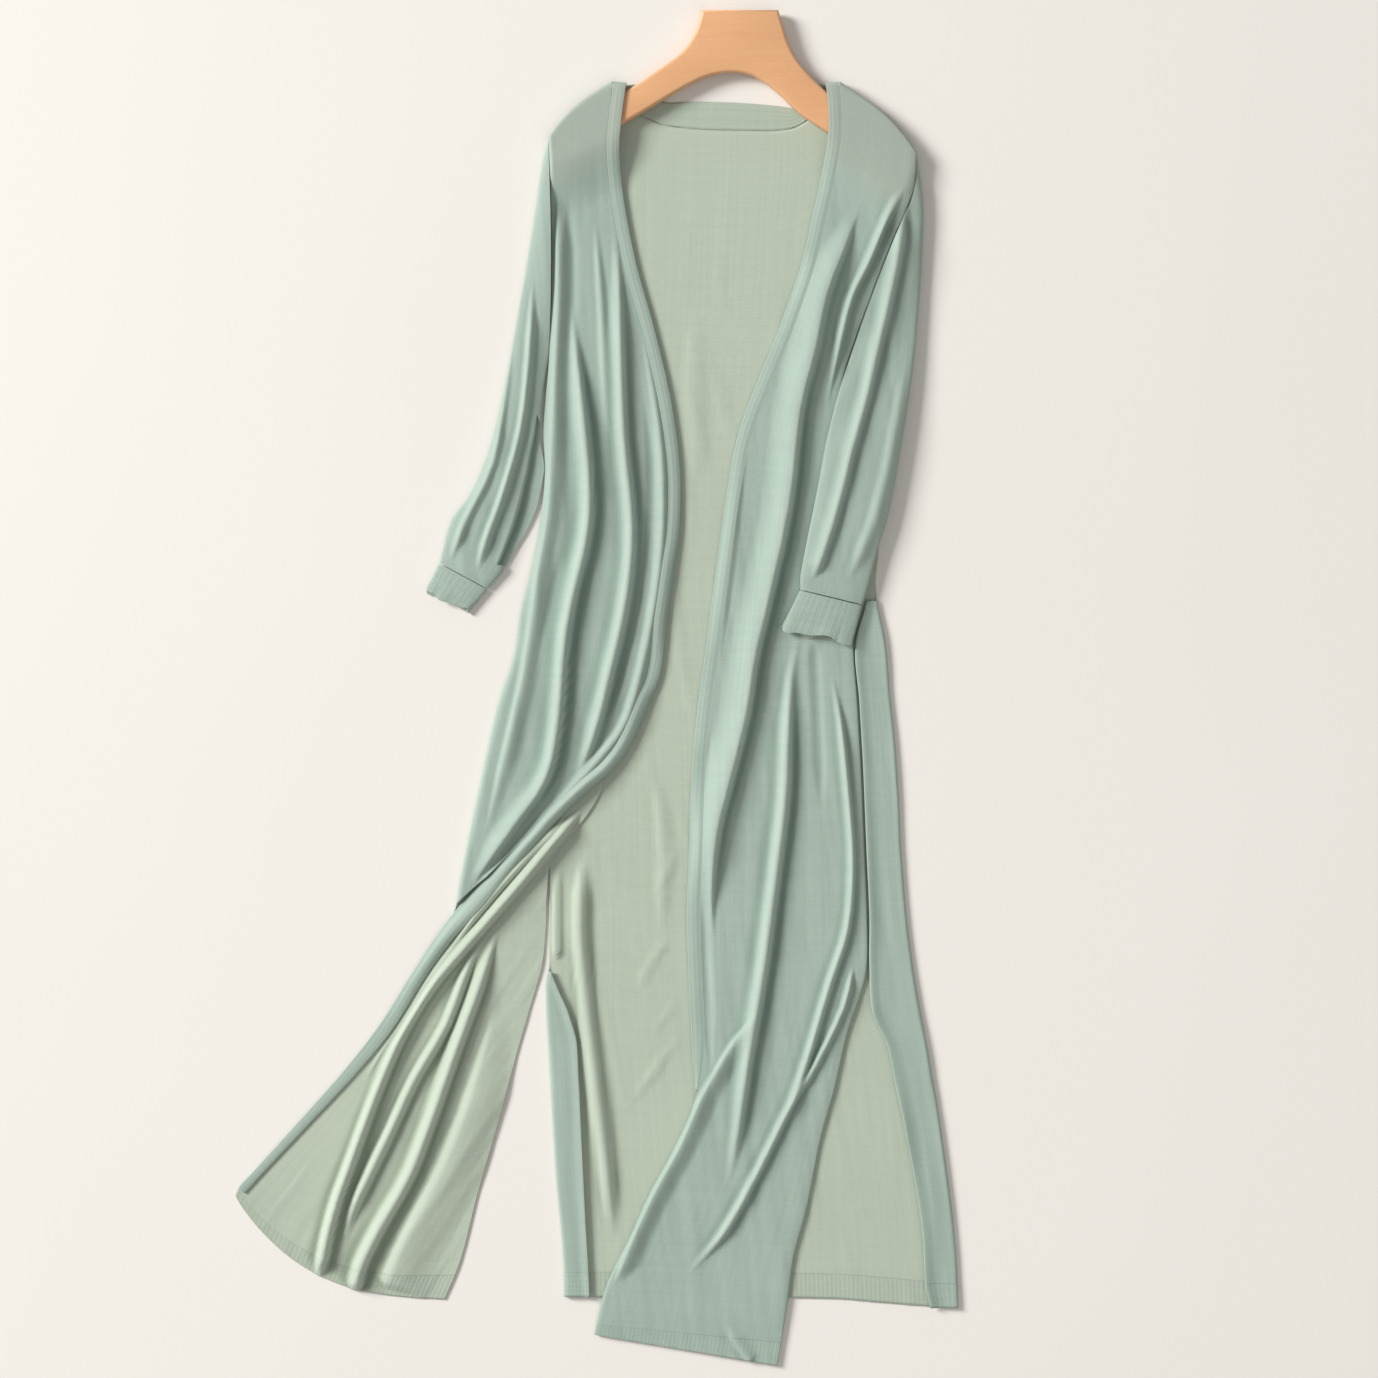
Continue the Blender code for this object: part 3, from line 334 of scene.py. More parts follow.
def from_path(path, x, y):
    """(share of the way, signed distance) to a line of points, positive on its right as it runs down."""
    lengths = [math.dist(a, b) for a, b in zip(path, path[1:])]
    total = sum(lengths)
    share = np.zeros(len(x))
    away = np.full(len(x), 1e9)
    gone = 0.0
    for (ax, ay), (bx, by), length in zip(path, path[1:], lengths):
        dx, dy = bx - ax, by - ay
        t = np.clip(((x - ax) * dx + (y - ay) * dy) / length**2, 0.0, 1.0)
        near = np.hypot(x - ax - t * dx, y - ay - t * dy)
        side = np.where(dx * (y - ay) - dy * (x - ax) > 0, 1.0, -1.0)
        closer = near < np.abs(away)
        share = np.where(closer, (gone + t * length) / total, share)
        away = np.where(closer, side * near, away)
        gone += length
    return share, away


# %% [markdown]
# ## Folds
# A fold is a soft ridge along a short line, steeper on one side than on the other, that fades at its ends.
# A negative height is a trough. Each panel has a list of them, placed one by one after the photograph.
# Between them a low noise, drawn out along the cloth's hang, gives the small unevenness of real knit.


# %% Folds
def fold(height, left, right, fade_in, fade_out, *path):
    return height, left, right, fade_in, fade_out, path


def smooth_path(path, parts=4):
    """A fold's line with a curve through its points."""
    if len(path) < 3:
        return list(path)
    return [tuple(p) for p in curve(path, np.linspace(0, len(path) - 1, parts * (len(path) - 1) + 1))]


def fold_height(folds, x, y):
    """The sum of the folds' heights at places, in millimetres."""
    total = np.zeros(len(x))
    for height, left, right, fade_in, fade_out, path in folds:
        share, away = from_path(smooth_path(path, 3), x, y)
        ends = smooth(0.0, max(fade_in, 1e-6), share) * smooth(1.0, 1.0 - max(fade_out, 1e-6), share)
        reach = np.where(away > 0, right, left) * (0.4 + 0.6 * ends)
        near = np.clip(np.abs(away) / reach, 0.0, 1.0)
        bump = (0.5 + 0.5 * np.cos(math.pi * near)) ** 1.15
        total += height * bump * ends
    return total


def unevenness(x, y, amount, turn=0.0, seed=0.0):
    """Small soft waves, long along the hang and short across it. turn is the hang's lean in radians."""
    across = x * math.cos(turn) + y * math.sin(turn)
    along = -x * math.sin(turn) + y * math.cos(turn)
    found = [noise.noise(Vector((a / 16.0, b / 110.0, seed))) for a, b in zip(across, along)]
    finer = [noise.noise(Vector((a / 6.5, b / 60.0, seed + 9.0))) for a, b in zip(across, along)]
    return amount * (np.array(found) + 0.35 * np.array(finer))


# %% [markdown]
# ## From a grid to a sheet of cloth
# Each panel starts as a flat grid of faces. Its rows run from the neck to the hem and its columns from one edge
# to the other, closer together near the edges, where cloth turns over. A function gives each point its place.
# Grids that meet at a fold share its points, and are merged there.


# %% Building cloth
KNIT_WALL = 1.3
RIB_WALL = 1.3
# Wall in millimetres, outer and inner material, and the slot's name
KNIT = (KNIT_WALL, [KNIT_OUT, KNIT_IN], "sage_knit")
RIB = (RIB_WALL, [RIB_OUT, RIB_IN], "sage_rib")
# Vertex attributes for tints: the wood seen through thin cloth, painted shade in hollows, painted highlight on
# crests
TINT_NAMES = ("over_wood", "hollow", "crest")


def edge_dense(count, keep=0.35):
    """count + 1 shares from 0 to 1, closer together near both ends.
    keep is the end spacing's share of the mean spacing."""
    t = np.linspace(0.0, 1.0, count + 1)
    return t - (1.0 - keep) * np.sin(2 * math.pi * t) / (2 * math.pi)


RELIEF_REACH = 0.008
RELIEF_FULL = 2.6


def relief(heights, u, column_width):
    """How far each point of a grid stands above the mean of its row nearby, in millimetres.
    It fades at the row's ends."""
    reach = max(1, round(RELIEF_REACH / column_width))
    padded = np.pad(heights, ((0, 0), (reach, reach)), mode="edge")
    sums = np.cumsum(np.pad(padded, ((0, 0), (1, 0))), axis=1)
    width = 2 * reach + 1
    mean = (sums[:, width:] - sums[:, :-width]) / width
    return (heights - mean) * smooth(0.0, 0.07, u) * smooth(1.0, 0.93, u)


def on_top_of_tube(u):
    """1 on a tube's upper half and 0 at its sides and beneath."""
    return smooth(0.03, 0.12, u) * smooth(0.47, 0.38, u)


def seam_at(shares, *ends):
    """The shares with one more very close to each named end, so that a seam there stays a fine line."""
    return sorted(set([*shares, *[0.004 if end == 0 else 0.996 for end in ends]]))


def dark_inner_side(u):
    """Like on_top_of_tube, and the inner side as well, where painted shade darkens the sleeve lying in the
    body's shade.
    """
    return smooth(0.03, 0.12, u) * smooth(0.505, 0.495, u)


def lay_grid(mesh, rows, shares, place, cloth_size, flip=False, seen=None):
    """Adds a grid whose rows and columns are put at place(row values, shares), in millimetres.
    cloth_size is the flat cloth's width and length in metres, for the stitch map.
    flip turns its outer face over. seen(u) fades the painted shade of hollows and the painted highlight of
    crests."""
    down, across = len(rows) - 1, len(shares) - 1
    layers = mesh.verts.layers.float
    for tint_name in TINT_NAMES:
        if layers.get(tint_name) is None:
            layers.new(tint_name)
    wood, hollow, crest = [layers[tint_name] for tint_name in TINT_NAMES]
    cloth_map = mesh.loops.layers.uv.get("cloth") or mesh.loops.layers.uv.new("cloth")
    made = bmesh.ops.create_grid(mesh, x_segments=across, y_segments=down, size=0.5)
    verts = made["verts"]
    j = np.array([round((v.co.x + 0.5) * across) for v in verts])
    i = np.array([round((0.5 - v.co.y) * down) for v in verts])
    points = place(np.array(rows)[i], np.array(shares)[j])
    for vert, point in zip(verts, points):
        vert.co = Vector(point) * MM
    tint = arm_lift(points[:, 0], points[:, 1]) * smooth(9.0, 15.0, points[:, 2])
    # Painted shade in hollows and painted highlight on crests, from each point's height against its row nearby
    heights = np.zeros((down + 1, across + 1))
    heights[i, j] = points[:, 2]
    stands = relief(heights, np.array(shares), cloth_size[0] / across)[i, j] / RELIEF_FULL
    if seen:
        stands = stands * seen(np.array(shares)[j])
    for vert, woody, high in zip(verts, tint, stands):
        vert[wood] = float(woody)
        vert[hollow] = float(min(max(-high, 0.0), 1.0))
        vert[crest] = float(min(max(high, 0.0), 1.0))
    place_of = {v: (shares[b] * cloth_size[0], -a / down * cloth_size[1]) for v, a, b in zip(verts, i, j)}
    faces = {face for vert in verts for face in vert.link_faces}
    for face in faces:
        for loop in face.loops:
            loop[cloth_map].uv = place_of[loop.vert]
    if flip:
        bmesh.ops.reverse_faces(mesh, faces=list(faces))


def cloth_piece(name, mesh, kind, node, even=True):
    wall, materials, slot_name = kind
    bmesh.ops.remove_doubles(mesh, verts=mesh.verts, dist=0.00002)
    data = bpy.data.meshes.new(name)
    mesh.to_mesh(data)
    mesh.free()
    data.shade_smooth()
    for item in materials:
        data.materials.append(item)
    piece = bpy.data.objects.new(name, data)
    bpy.context.scene.collection.objects.link(piece)
    thick = piece.modifiers.new("wall", "SOLIDIFY")
    thick.thickness = wall * MM
    thick.offset = -1.0
    thick.use_even_offset = even
    thick.use_rim = True
    thick.material_offset = len(materials) - 1
    thick.material_offset_rim = 0
    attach(piece, "root")
    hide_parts(node)
    print(name, len(data.vertices), "points")
    return piece


# %% [markdown]
# ## The layers
# The back lies on the surface. The hanger lies on the back, and the fronts lie on both. Where a front passes
# over one of the hanger's arms it rises over the board, and it comes down again over some sixty millimetres.

# %% Heights of the layers
FRONT_TOP = 5.8
FRONT_LOWEST_TOP = 3.9
SASH_EXTRA = 1.6
OVER_BACK = 2.1
FLAP_TOP = 4.6
FOLD_MIDDLE = 2.3
HANGER_BOTTOM = 2.5
HANGER_THICK = 12.0
OVER_HANGER = HANGER_BOTTOM + HANGER_THICK + 2.2
ARM_HALF_DEPTH = 19.0
ARM_DRAPE = 58.0
SHOULDER_EDGE_TOP = 3.6
SHOULDER_STEP = 57.0
BAND_STEP = 37.0
TOP_GAP = 1.3
SEAM_GAP = 0.1
BAND_GAP = 0.1
BAND_CROWN = 0.5
SASH_CROWN = 3.6
HANGER_ARMS = [
    [(33, 585), (5, 571), (-22, 559), (-38, 550)],
    [(222, 582), (252, 564), (284, 543), (305, 526)],
]
HANGER_OUTLINE = [
    # x, y, anticlockwise from the top right corner of the neck
    (181, 676.5),
    (105, 676.5),
    (100, 659),
    (93, 645),
    (83, 633),
    (63, 618),
    (36, 600),
    (5, 583),
    (-18, 570),
    (-31, 560),
    (-37, 550),
    (-36, 541),
    (-27, 537),
    (-15, 541),
    (5, 551),
    (31, 566),
    (53, 579),
    (71, 590),
    (92, 602),
    (112, 611),
    (134, 614.5),
    (153, 612),
    (168, 604),
    (184, 591),
    (203, 573),
    (225, 558),
    (253, 540),
    (281, 520),
    (293, 513),
    (303, 513),
    (309, 519),
    (306, 529),
    (292, 545),
    (263, 569),
    (226, 598),
    (203, 622),
    (192, 641),
    (186, 659),
]


def arm_lift(x, y):
    """How far the hanger's arms lift the fronts, from 0 to 1."""
    best = np.zeros(len(x))
    for arm in HANGER_ARMS:
        away = np.abs(from_path(arm, x, y)[1])
        best = np.maximum(best, smooth(ARM_HALF_DEPTH + ARM_DRAPE, ARM_HALF_DEPTH, away))
    return best


def shoulder_turn(top, from_seam):
    """Turns the fronts down over the hanger's upper edge, close to the shoulder seam."""
    return SHOULDER_EDGE_TOP + (top - SHOULDER_EDGE_TOP) * round_over(from_seam, 8.0)


def offset_edge(edge_table, towards, gap=0.0):
    """The opening edge moved inwards by the band's width and a gap, as a table of x and y."""
    moved = []
    for i, (x, y, width) in enumerate(edge_table):
        ahead = edge_table[min(i + 1, len(edge_table) - 1)]
        behind = edge_table[max(i - 1, 0)]
        run = Vector((ahead[0] - behind[0], ahead[1] - behind[1])).normalized()
        reach = (width + gap if width else 0.0) * towards
        moved.append((x - run.y * reach, y + run.x * reach))
    return moved


# %% [markdown]
# ## The right front
# In the photograph this is the front on the left. Its upper part lies right side up. Along its outer line it
# folds under itself, and the turned part comes out below the opening edge and spreads wrong side up to the hem.

# %% Right front: outline and folds
RIGHT_SIDE = [
    # x, y
    (-48, 551),
    (-46, 494),
    (-45, 440),
    (-45.5, 385),
    (-48, 325),
    (-53.5, 262),
    (-52, 215),
    (-57, 165),
    (-67, 115),
    (-76, 79),
    (-83, 34),
    (-98, -12),
    (-109, -58),
    (-122, -118),
    (-136, -186),
    (-142, -219),
    (-156, -247),
    (-178, -277),
    (-205, -321),
    (-233, -359),
    (-265, -400),
    (-304, -444),
    (-337, -477),
    (-355, -494),
    (-361.5, -506),
]
# Its opening edge, with the width of the band there
RIGHT_EDGE = [
    # x, y, band width
    (30, 605, 13),
    (25, 568, 13),
    (23, 532, 13),
    (28, 484, 13),
    (40, 423, 13),
    (57, 362, 13),
    (74, 290, 13),
    (83, 224, 13),
    (83, 164, 13),
    (77, 115, 13),
    (70, 67, 13),
    (64, 18, 13),
    (53, -13, 13),
    (36, -52, 13),
    (15, -81, 13),
    (-12, -105, 13),
    (-39, -131, 13),
    (-61, -156, 13),
    (-89, -187, 15),
    (-116, -219, 18),
    (-147, -254, 15),
    (-175, -293, 13),
    (-205, -341, 13),
    (-243, -387, 11),
    (-287, -434, 9),
    (-334, -484, 8),
    (-352, -504, 8),
]
# Where each level of the side line meets the opening edge, and how far the cloth bows up between them
RIGHT_RUNGS = [
    # place on the side line, place on the opening edge, bow
    (0, 0.0, 8),
    (0.5, 0.9, 6),
    (1, 1.7, 5),
    (2, 2.8, 1),
    (3, 3.65, 0),
    (4, 4.7, 0),
    (5, 5.85, 0),
    (6, 6.75, 0),
    (7, 7.7, 0),
    (8, 8.75, 0),
    (9, 9.5, 0),
    (10, 10.5, 0),
    (11, 11.7, 0),
    (12, 12.8, 0),
    (13, 14.9, 0),
    (14, 17.3, 0),
    (14.85, 18.35, 0),
]
RIGHT_TIP_AT = 14.85
# The turned part's inner line: the seam, then the slit edge
TURNED_RUNGS = [
    # place on the side line, inner x, inner y, sag towards the hem
    (6, -49.5, 216, 0),
    (7, -49.5, 166, 0),
    (8, -49.5, 118, 0),
    (9, -50, 82, 0),
    (10, -49, 34, 0),
    (11, -40, -11, 0),
    (12, -7, -56, 0),
    (12.6, 6, -88, 0),
    (13, -1, -112, 0),
    (13.5, -22, -142, 0),
    (14, -45, -171, 0),
    (15, -50, -205, 0),
    (16, -51, -240, 2),
    (17, -55, -277, 5),
    (18, -68, -323, 9),
    (19, -82, -372, 14),
    (20, -95, -420, 19),
    (21, -107, -463, 24),
    (22, -119, -505, 29),
    (23, -135, -568, 34),
    (24, -152, -610, 37),
]
TURNED_FIRST_AT = 6.0
TURNED_HEM_AT = 23.35
TURNED_LAST_AT = 24.0
SAG_DIRECTION = Vector((-0.12, -0.99))
RIGHT_FOLDS = [
    # height, reach to the left and right, fade at the top and foot, then the crest's points
    fold(5, 8, 16, 0.1, 0.15, (-39, 500), (-38, 400), (-42, 300), (-45, 235), (-48, 179),
         (-59, 110), (-72, 20), (-90, -60), (-112, -150)),
    fold(-1.9, 10, 14, 0.15, 0.3, (-28, 500), (-28, 400), (-33, 300), (-28, 215), (-27, 152),
         (-45, 95), (-68, 0)),
    fold(12, 18, 9, 0.22, 0.1, (-26, 390), (-22, 350), (-14, 280), (-7, 195), (-12, 140), (-30, 60),
         (-38, -30), (-50, -88), (-82, -135), (-127, -198)),
    fold(10.5, 16, 9.5, 0.22, 0.12, (18, 460), (22, 410), (24, 320), (27, 250), (35, 165), (30, 95), (14, 20),
         (-4, -50), (-22, -92)),
    fold(5, 10, 9, 0.25, 0.05, (45, 360), (62, 260), (66, 185), (62, 120), (50, 45), (30, -30),
         (2, -70), (-35, -112), (-80, -162), (-124, -210)),
    fold(3, 7, 7, 0.3, 0.4, (-2, 470), (4, 390), (8, 300), (12, 220)),
    fold(-1.8, 7, 8, 0.2, 0.2, (46, 300), (53, 230), (50, 150), (40, 80), (20, 0), (-2, -50)),
]
TURNED_FOLDS = [
    fold(6.5, 8, 6, 0.1, 0.25, (-28, -124), (-58, -156), (-97, -198), (-142, -252), (-178, -300),
         (-209, -350), (-236, -400)),
    fold(11, 11, 8, 0.06, 0.04, (-14, -120), (-42, -152), (-84, -203), (-132, -258), (-167, -300),
         (-192, -340), (-217, -396), (-243, -466), (-263, -524), (-278, -590)),
    fold(8, 9, 8, 0.2, 0.2, (-107, -246), (-126, -271), (-150, -334), (-183, -391), (-205, -439),
         (-222, -474), (-244, -521), (-254, -562)),
    fold(11, 15, 9, 0.2, 0.03, (-98, -235), (-117, -296), (-137, -350), (-158, -410), (-185, -482),
         (-216, -537), (-235, -576), (-241, -604)),
    fold(7, 16, 46, 0.35, 0.03, (-98, -310), (-121, -400), (-150, -476), (-187, -546), (-210, -600)),
]

# %% [markdown]
# ## The left front
# This front lies over the back, right side up. Below a corner its opening is folded under, along a diagonal.

# %% Left front: outline and folds
LEFT_SIDE = [
    # x, y
    (319, 536),
    (315, 494),
    (296, 450),
    (278, 404),
    (260, 354),
    (246, 306),
    (250, 262),
    (254, 216),
    (257, 166),
    (257, 108),
    (256, 48),
    (260, -11),
    (264, -81),
    (267, -156),
    (270, -226),
    (270, -276),
    (262, -310),
    (250, -345),
    (237, -402),
    (223, -452),
    (210, -518),
    (197, -567),
    (190, -617),
    (180, -676),
]
LEFT_EDGE = [
    # x, y, band width
    (228, 605, 13),
    (231, 571, 13),
    (230, 544, 13),
    (224, 511, 13),
    (216, 475, 13),
    (206, 431, 13),
    (193, 391, 13),
    (177, 347, 13),
    (158, 301, 13),
    (141, 254, 13),
    (131, 204, 13),
    (123, 149, 13),
    (115, 89, 13),
    (108, 34, 13),
    (101, -16, 13),
    (95, -81, 13),
    (92, -156, 13),
    (90, -229, 13),
    (92, -296, 13),
    (95, -361, 12),
    (97, -413, 0),
    (76, -461, 0),
    (52, -505, 0),
    (32, -549, 0),
    (9, -597, 0),
    (-3, -645, 0),
]
LEFT_CORNER_AT = 20
TUCK_WIDTHS = [
    # place on the opening edge, width turned under
    (20, 4),
    (21, 16),
    (23, 26),
    (25, 30),
]
LEFT_RUNGS = [
    # place on the side line, place on the opening edge, bow
    (0, 0.0, 9),
    (0.5, 0.7, 7),
    (1, 1.4, 4),
    (2, 2.8, 1),
    (3, 4, 0),
    (4, 5.2, 0),
    (5, 6.8, 0),
    (6, 8.1, 0),
    (7, 9.2, 0),
    (8, 10.6, 0),
    (9, 11.6, 0),
    (10, 12.7, 0),
    (11, 13.8, 0),
    (12, 15, 0),
    (13, 16, 0),
    (14, 17, 0),
    (15, 17.8, 0),
    (16, 18.4, 0),
    (17, 19, 0),
    (18, 20, 0),
    (19, 21, 0),
    (20, 22.2, 0),
    (21, 23.2, 0),
    (22, 24.2, 0),
    (23, 25, 0),
]
LEFT_HEM_AT = 22.55
LEFT_LAST_AT = 23.0
LEFT_FOLDS = [
    fold(13, 30, 10, 0.12, 0.15, (262, 484), (246, 439), (229, 395), (217, 338), (202, 278),
         (191, 183), (171, 90), (158, 35), (148, -27), (134, -84), (119, -144), (114, -205), (116, -253)),
    fold(7, 9, 7, 0.1, 0.35, (308, 505), (290, 470), (270, 423), (254, 390), (241, 338), (229, 280)),
    fold(10, 16, 10, 0.25, 0.2, (204, 60), (194, 10), (190, -56), (188, -108), (179, -181),
         (170, -253), (160, -319), (150, -375), (141, -441), (131, -501)),
    fold(6.5, 9, 6, 0.14, 0.12, (233, 20), (243, -30), (252, -120), (255, -181), (250, -240),
         (233, -293), (203, -391), (180, -443), (154, -495), (128, -541), (104, -570), (88, -588)),
    fold(5, 6, 6, 0.15, 0.3, (256, -275), (246, -318), (220, -372), (186, -431)),
    fold(6, 5, 18, 0.15, 0.1, (160, -321), (134, -356), (106, -405), (84, -455), (59, -500),
         (38, -545), (17, -595)),
    fold(-1.9, 8, 9, 0.1, 0.2, (114, -40), (108, -108), (107, -205), (110, -302), (114, -389)),
    fold(3, 10, 9, 0.3, 0.4, (150, 300), (140, 210), (130, 110), (121, 20)),
    fold(-1.9, 9, 9, 0.1, 0.3, (216, 49), (219, 0), (221, -50), (224, -130)),
    fold(2.5, 5, 12, 0.4, 0.1, (128, -636), (142, -658), (154, -674)),
]

# %% The back: outline and folds
BACK_LEFT_X = [
    # y, x of the wearer's right side
    (552, -46.8),
    (494, -45.0),
    (440, -44.0),
    (385, -44.5),
    (324, -46.6),
    (100, -47.5),
    (-276, -48),
    (-301, -51),
    (-402, -46),
    (-485, -41),
    (-567, -34),
    (-612, -33),
]
BACK_RIGHT_X = [
    # y, x of the wearer's left side
    (536, 318),
    (439, 308),
    (309, 296),
    (209, 287),
    (129, 281),
    (99, 279),
    (43, 289),
    (-6, 293),
    (-51, 298),
    (-111, 302),
    (-171, 305),
    (-270, 315),
    (-386, 335),
    (-468, 348),
    (-551, 358),
    (-620, 361.5),
]
RIGHT_SHOULDER = [
    # x, y of the back's edge
    (-46.5, 549),
    (-43, 555),
    (-25, 573),
    (3, 590),
    (19, 597),
]
LEFT_SHOULDER = [
    # x, y of the back's edge
    (242, 596),
    (268, 576),
    (296, 559),
    (314, 541),
    (318, 533),
]
NECK_BAND = [
    # x and y of the free edge, x and y of the seam, rise of the band around the hanger
    (37, 604.5, 25, 602, 1.0),
    (47, 597, 31, 583, 0),
    (57, 590, 46, 573, 0),
    (72, 586, 66, 564, 0),
    (102, 587, 98, 559.5, 0),
    (140, 586, 138, 558, 0),
    (178, 583, 180, 558, 0),
    (197, 581, 200, 562, 0),
    (209, 588, 218, 574, 0),
    (215, 596, 230, 585, 0),
    (222, 604.5, 236, 601, 1.0),
]
BACK_SEAM_Y = [
    # share of the width, y of the hem's seam
    (0.0, -583),
    (0.7, -585),
    (1.0, -594),
]
RIGHT_FLAP_EDGE_X = [
    # y, x of the free edge folded over at the wearer's right slit
    (-280, -46),
    (-296, -40),
    (-321, -29),
    (-351, -20),
    (-402, -17),
    (-534, -11),
    (-612, -7),
]
LEFT_FLAP_EDGE_X = [
    # y, x of the seam, and below the slit's top of the free edge folded over
    (92, 270),
    (43, 258),
    (-11, 262),
    (-81, 266),
    (-156, 269),
    (-226, 272),
    (-276, 272),
    (-323, 275),
    (-356, 290),
    (-396, 298),
    (-435, 307),
    (-488, 317),
    (-544, 325),
    (-597, 328),
    (-620, 333),
]
RIGHT_FLAP_FIRST_Y = -282
LEFT_FLAP_FIRST_Y = 88
BACK_HEM_DROP = 24.5
BACK_FOLDS = [
    fold(7.5, 12, 13, 0.12, 0.2, (-15, -165), (-18, -230), (-14, -290), (-5, -369), (5, -452),
         (12, -518), (15, -560)),
    fold(4, 5, 5, 0.2, 0.1, (-40, -176), (-41, -231), (-40, -272)),
    fold(1.0, 6, 10, 0.4, 0.5, (38, -306), (58, -268), (84, -236)),
    fold(0.8, 5, 9, 0.5, 0.4, (52, -352), (66, -330), (80, -312)),
    fold(1.2, 7, 11, 0.4, 0.4, (26, -424), (50, -392), (86, -340)),
    fold(0.9, 6, 9, 0.4, 0.5, (56, -206), (72, -180), (80, -150)),
    fold(1.5, 10, 14, 0.3, 0.3, (60, -80), (66, -170), (64, -250)),
    fold(1.2, 14, 18, 0.3, 0.3, (90, 380), (96, 280), (100, 190)),
]

# %% Sleeves and cuffs: sections
RIGHT_SLEEVE = [
    # outer x, y, inner x, y, underside at outer and inner, height at outer and inner
    (-49.6, 551, -48.9, 324, 0, 0, 16, 7),
    (-56, 524, -50.5, 316, 0, 0, 14, 7),
    (-63, 474, -52, 307, 0, 0, 11, 7),
    (-75, 399, -54, 291, 0, 0, 9, 7),
    (-89, 319, -58.5, 251, 0, 0, 10, 8),
    (-102, 259, -65, 229, 0, 0, 11, 8),
    (-113, 224, -70, 205, 0, 0, 11, 9),
    (-127, 194, -76, 176, 0, 0, 11, 10),
    (-145, 169, -82, 148, 0, 0, 10, 10),
    (-152, 146, -92, 121, 0, 0, 9, 10),
    (-157, 126, -109, 100, 0, 0, 7, 8),
]
RIGHT_SLEEVE_FOLDS = [
    fold(5, 9, 7, 0.15, 0.1, (-80, 430), (-88, 350), (-92, 300), (-104, 225), (-130, 170), (-147, 125)),
    fold(6, 7, 9, 0.2, 0.12, (-64, 410), (-68, 330), (-76, 260), (-92, 200), (-110, 150), (-120, 115)),
]
RIGHT_CUFF = [
    (-157.4, 125.2, -109.6, 99.2, 0, 0, 7, 8),
    (-171, 98, -128, 77, 0, 0, 7, 7),
]
LEFT_SLEEVE = [
    (322, 533, 247.6, 304, 2.2, 6.2, 14, 7),
    (328, 484, 241, 290, 2.4, 6.4, 12, 7),
    (326, 427, 235, 269, 3.0, 6.6, 10, 8),
    (321, 369, 229, 246, 4.0, 6.6, 9, 8),
    (315, 314, 223, 215, 5.0, 6.6, 10, 9),
    (307, 261, 217, 184, 6.0, 6.6, 10, 9),
    (299, 214, 211, 155, 6.2, 6.6, 10, 9),
    (291, 174, 206, 129, 6.2, 6.6, 10, 9),
    (280, 138, 203, 112, 6.2, 6.6, 9, 9),
    (271, 104, 203, 102, 6.2, 6.6, 8, 8),
    (265, 84, 203, 99, 6.2, 6.6, 8, 8),
]
LEFT_SLEEVE_FOLDS = [
    fold(8, 13, 9, 0.12, 0.05, (308, 490), (298, 420), (282, 350), (268, 290), (254, 240), (236, 170),
         (215, 108)),
    fold(4, 11, 13, 0.3, 0.15, (308, 330), (300, 270), (288, 210), (272, 155), (250, 108)),
]
LEFT_CUFF = [
    (264.6, 83.0, 202.4, 98.2, 6.2, 6.6, 8, 8),
    (254, 44, 184, 60, 6.2, 6.6, 8, 7),
]

# %% Right front: places
RIGHT_PANEL_EDGE = offset_edge(RIGHT_EDGE, -1, BAND_GAP)
RIGHT_SEAM = offset_edge(RIGHT_EDGE, -1)


def right_front_top(x, y):
    base = FRONT_TOP + SASH_EXTRA * smooth(40, -30, y)
    top = base + fold_height(RIGHT_FOLDS, x, y) + unevenness(x, y, 0.7, 0.05, 3.0)
    top = np.maximum(top, FRONT_LOWEST_TOP)
    return top + (OVER_HANGER - top) * arm_lift(x, y)


def right_upper_place(at, u):
    """The right front's upper side. u runs from the side line to the band's seam."""
    edge_at, bow = keyed(RIGHT_RUNGS, at).T
    start = curve(RIGHT_SIDE, at)
    end = curve(RIGHT_PANEL_EDGE, edge_at)
    end[:, 0] -= TOP_GAP * smooth(0.35, 0.0, at)
    place = start + (end - start) * u[:, None]
    place[:, 1] += bow * np.sin(math.pi * u**0.75)
    top = right_front_top(place[:, 0], place[:, 1])
    from_side = np.hypot(*(place - start).T)
    side_top = np.where(at < 4.5, 7.0, FOLD_MIDDLE + 0.7)
    side_top = side_top + (13.0 - side_top) * smooth(1.6, 0.0, at)
    side_top = side_top + (FOLD_MIDDLE + 0.7 - side_top) * smooth(4.0, 5.0, at)
    side_top = np.minimum(side_top, top)
    top = side_top + (top - side_top) * round_over(from_side, 7.0)
    top = shoulder_turn(top, at * SHOULDER_STEP)
    return np.column_stack([place, top])


def turned_place(at, u):
    """The right front's turned part. u runs from the side line to the seam and slit edge."""
    inner_x, inner_y, sag = keyed(TURNED_RUNGS, at).T
    start = curve(RIGHT_SIDE, at)
    end = np.column_stack([inner_x, inner_y])
    bulge = (sag * np.sin(math.pi * u**0.8))[:, None] * np.array(SAG_DIRECTION)
    place = start + (end - start) * u[:, None] + bulge
    x, y = place.T
    from_side = np.hypot(*(place - start).T)
    over_back = smooth(-112, -64, x) * smooth(-236, -200, y)
    folds = np.maximum(fold_height(TURNED_FOLDS, x, y) + unevenness(x, y, 0.8, -0.6, 5.0), 0.0)
    under = OVER_BACK * over_back + folds * smooth(12, 24, from_side)
    fold_under = (FOLD_MIDDLE + 0.7) * smooth(15.6, 14.9, at)
    under = fold_under + (under - fold_under) * round_over(from_side, 3.0)
    joined = (u == 0.0) & (at <= RIGHT_TIP_AT)
    if joined.any():
        shared = right_upper_place(at[joined], u[joined])
        place[joined] = shared[:, :2]
        under[joined] = shared[:, 2]
    return np.column_stack([place, under])


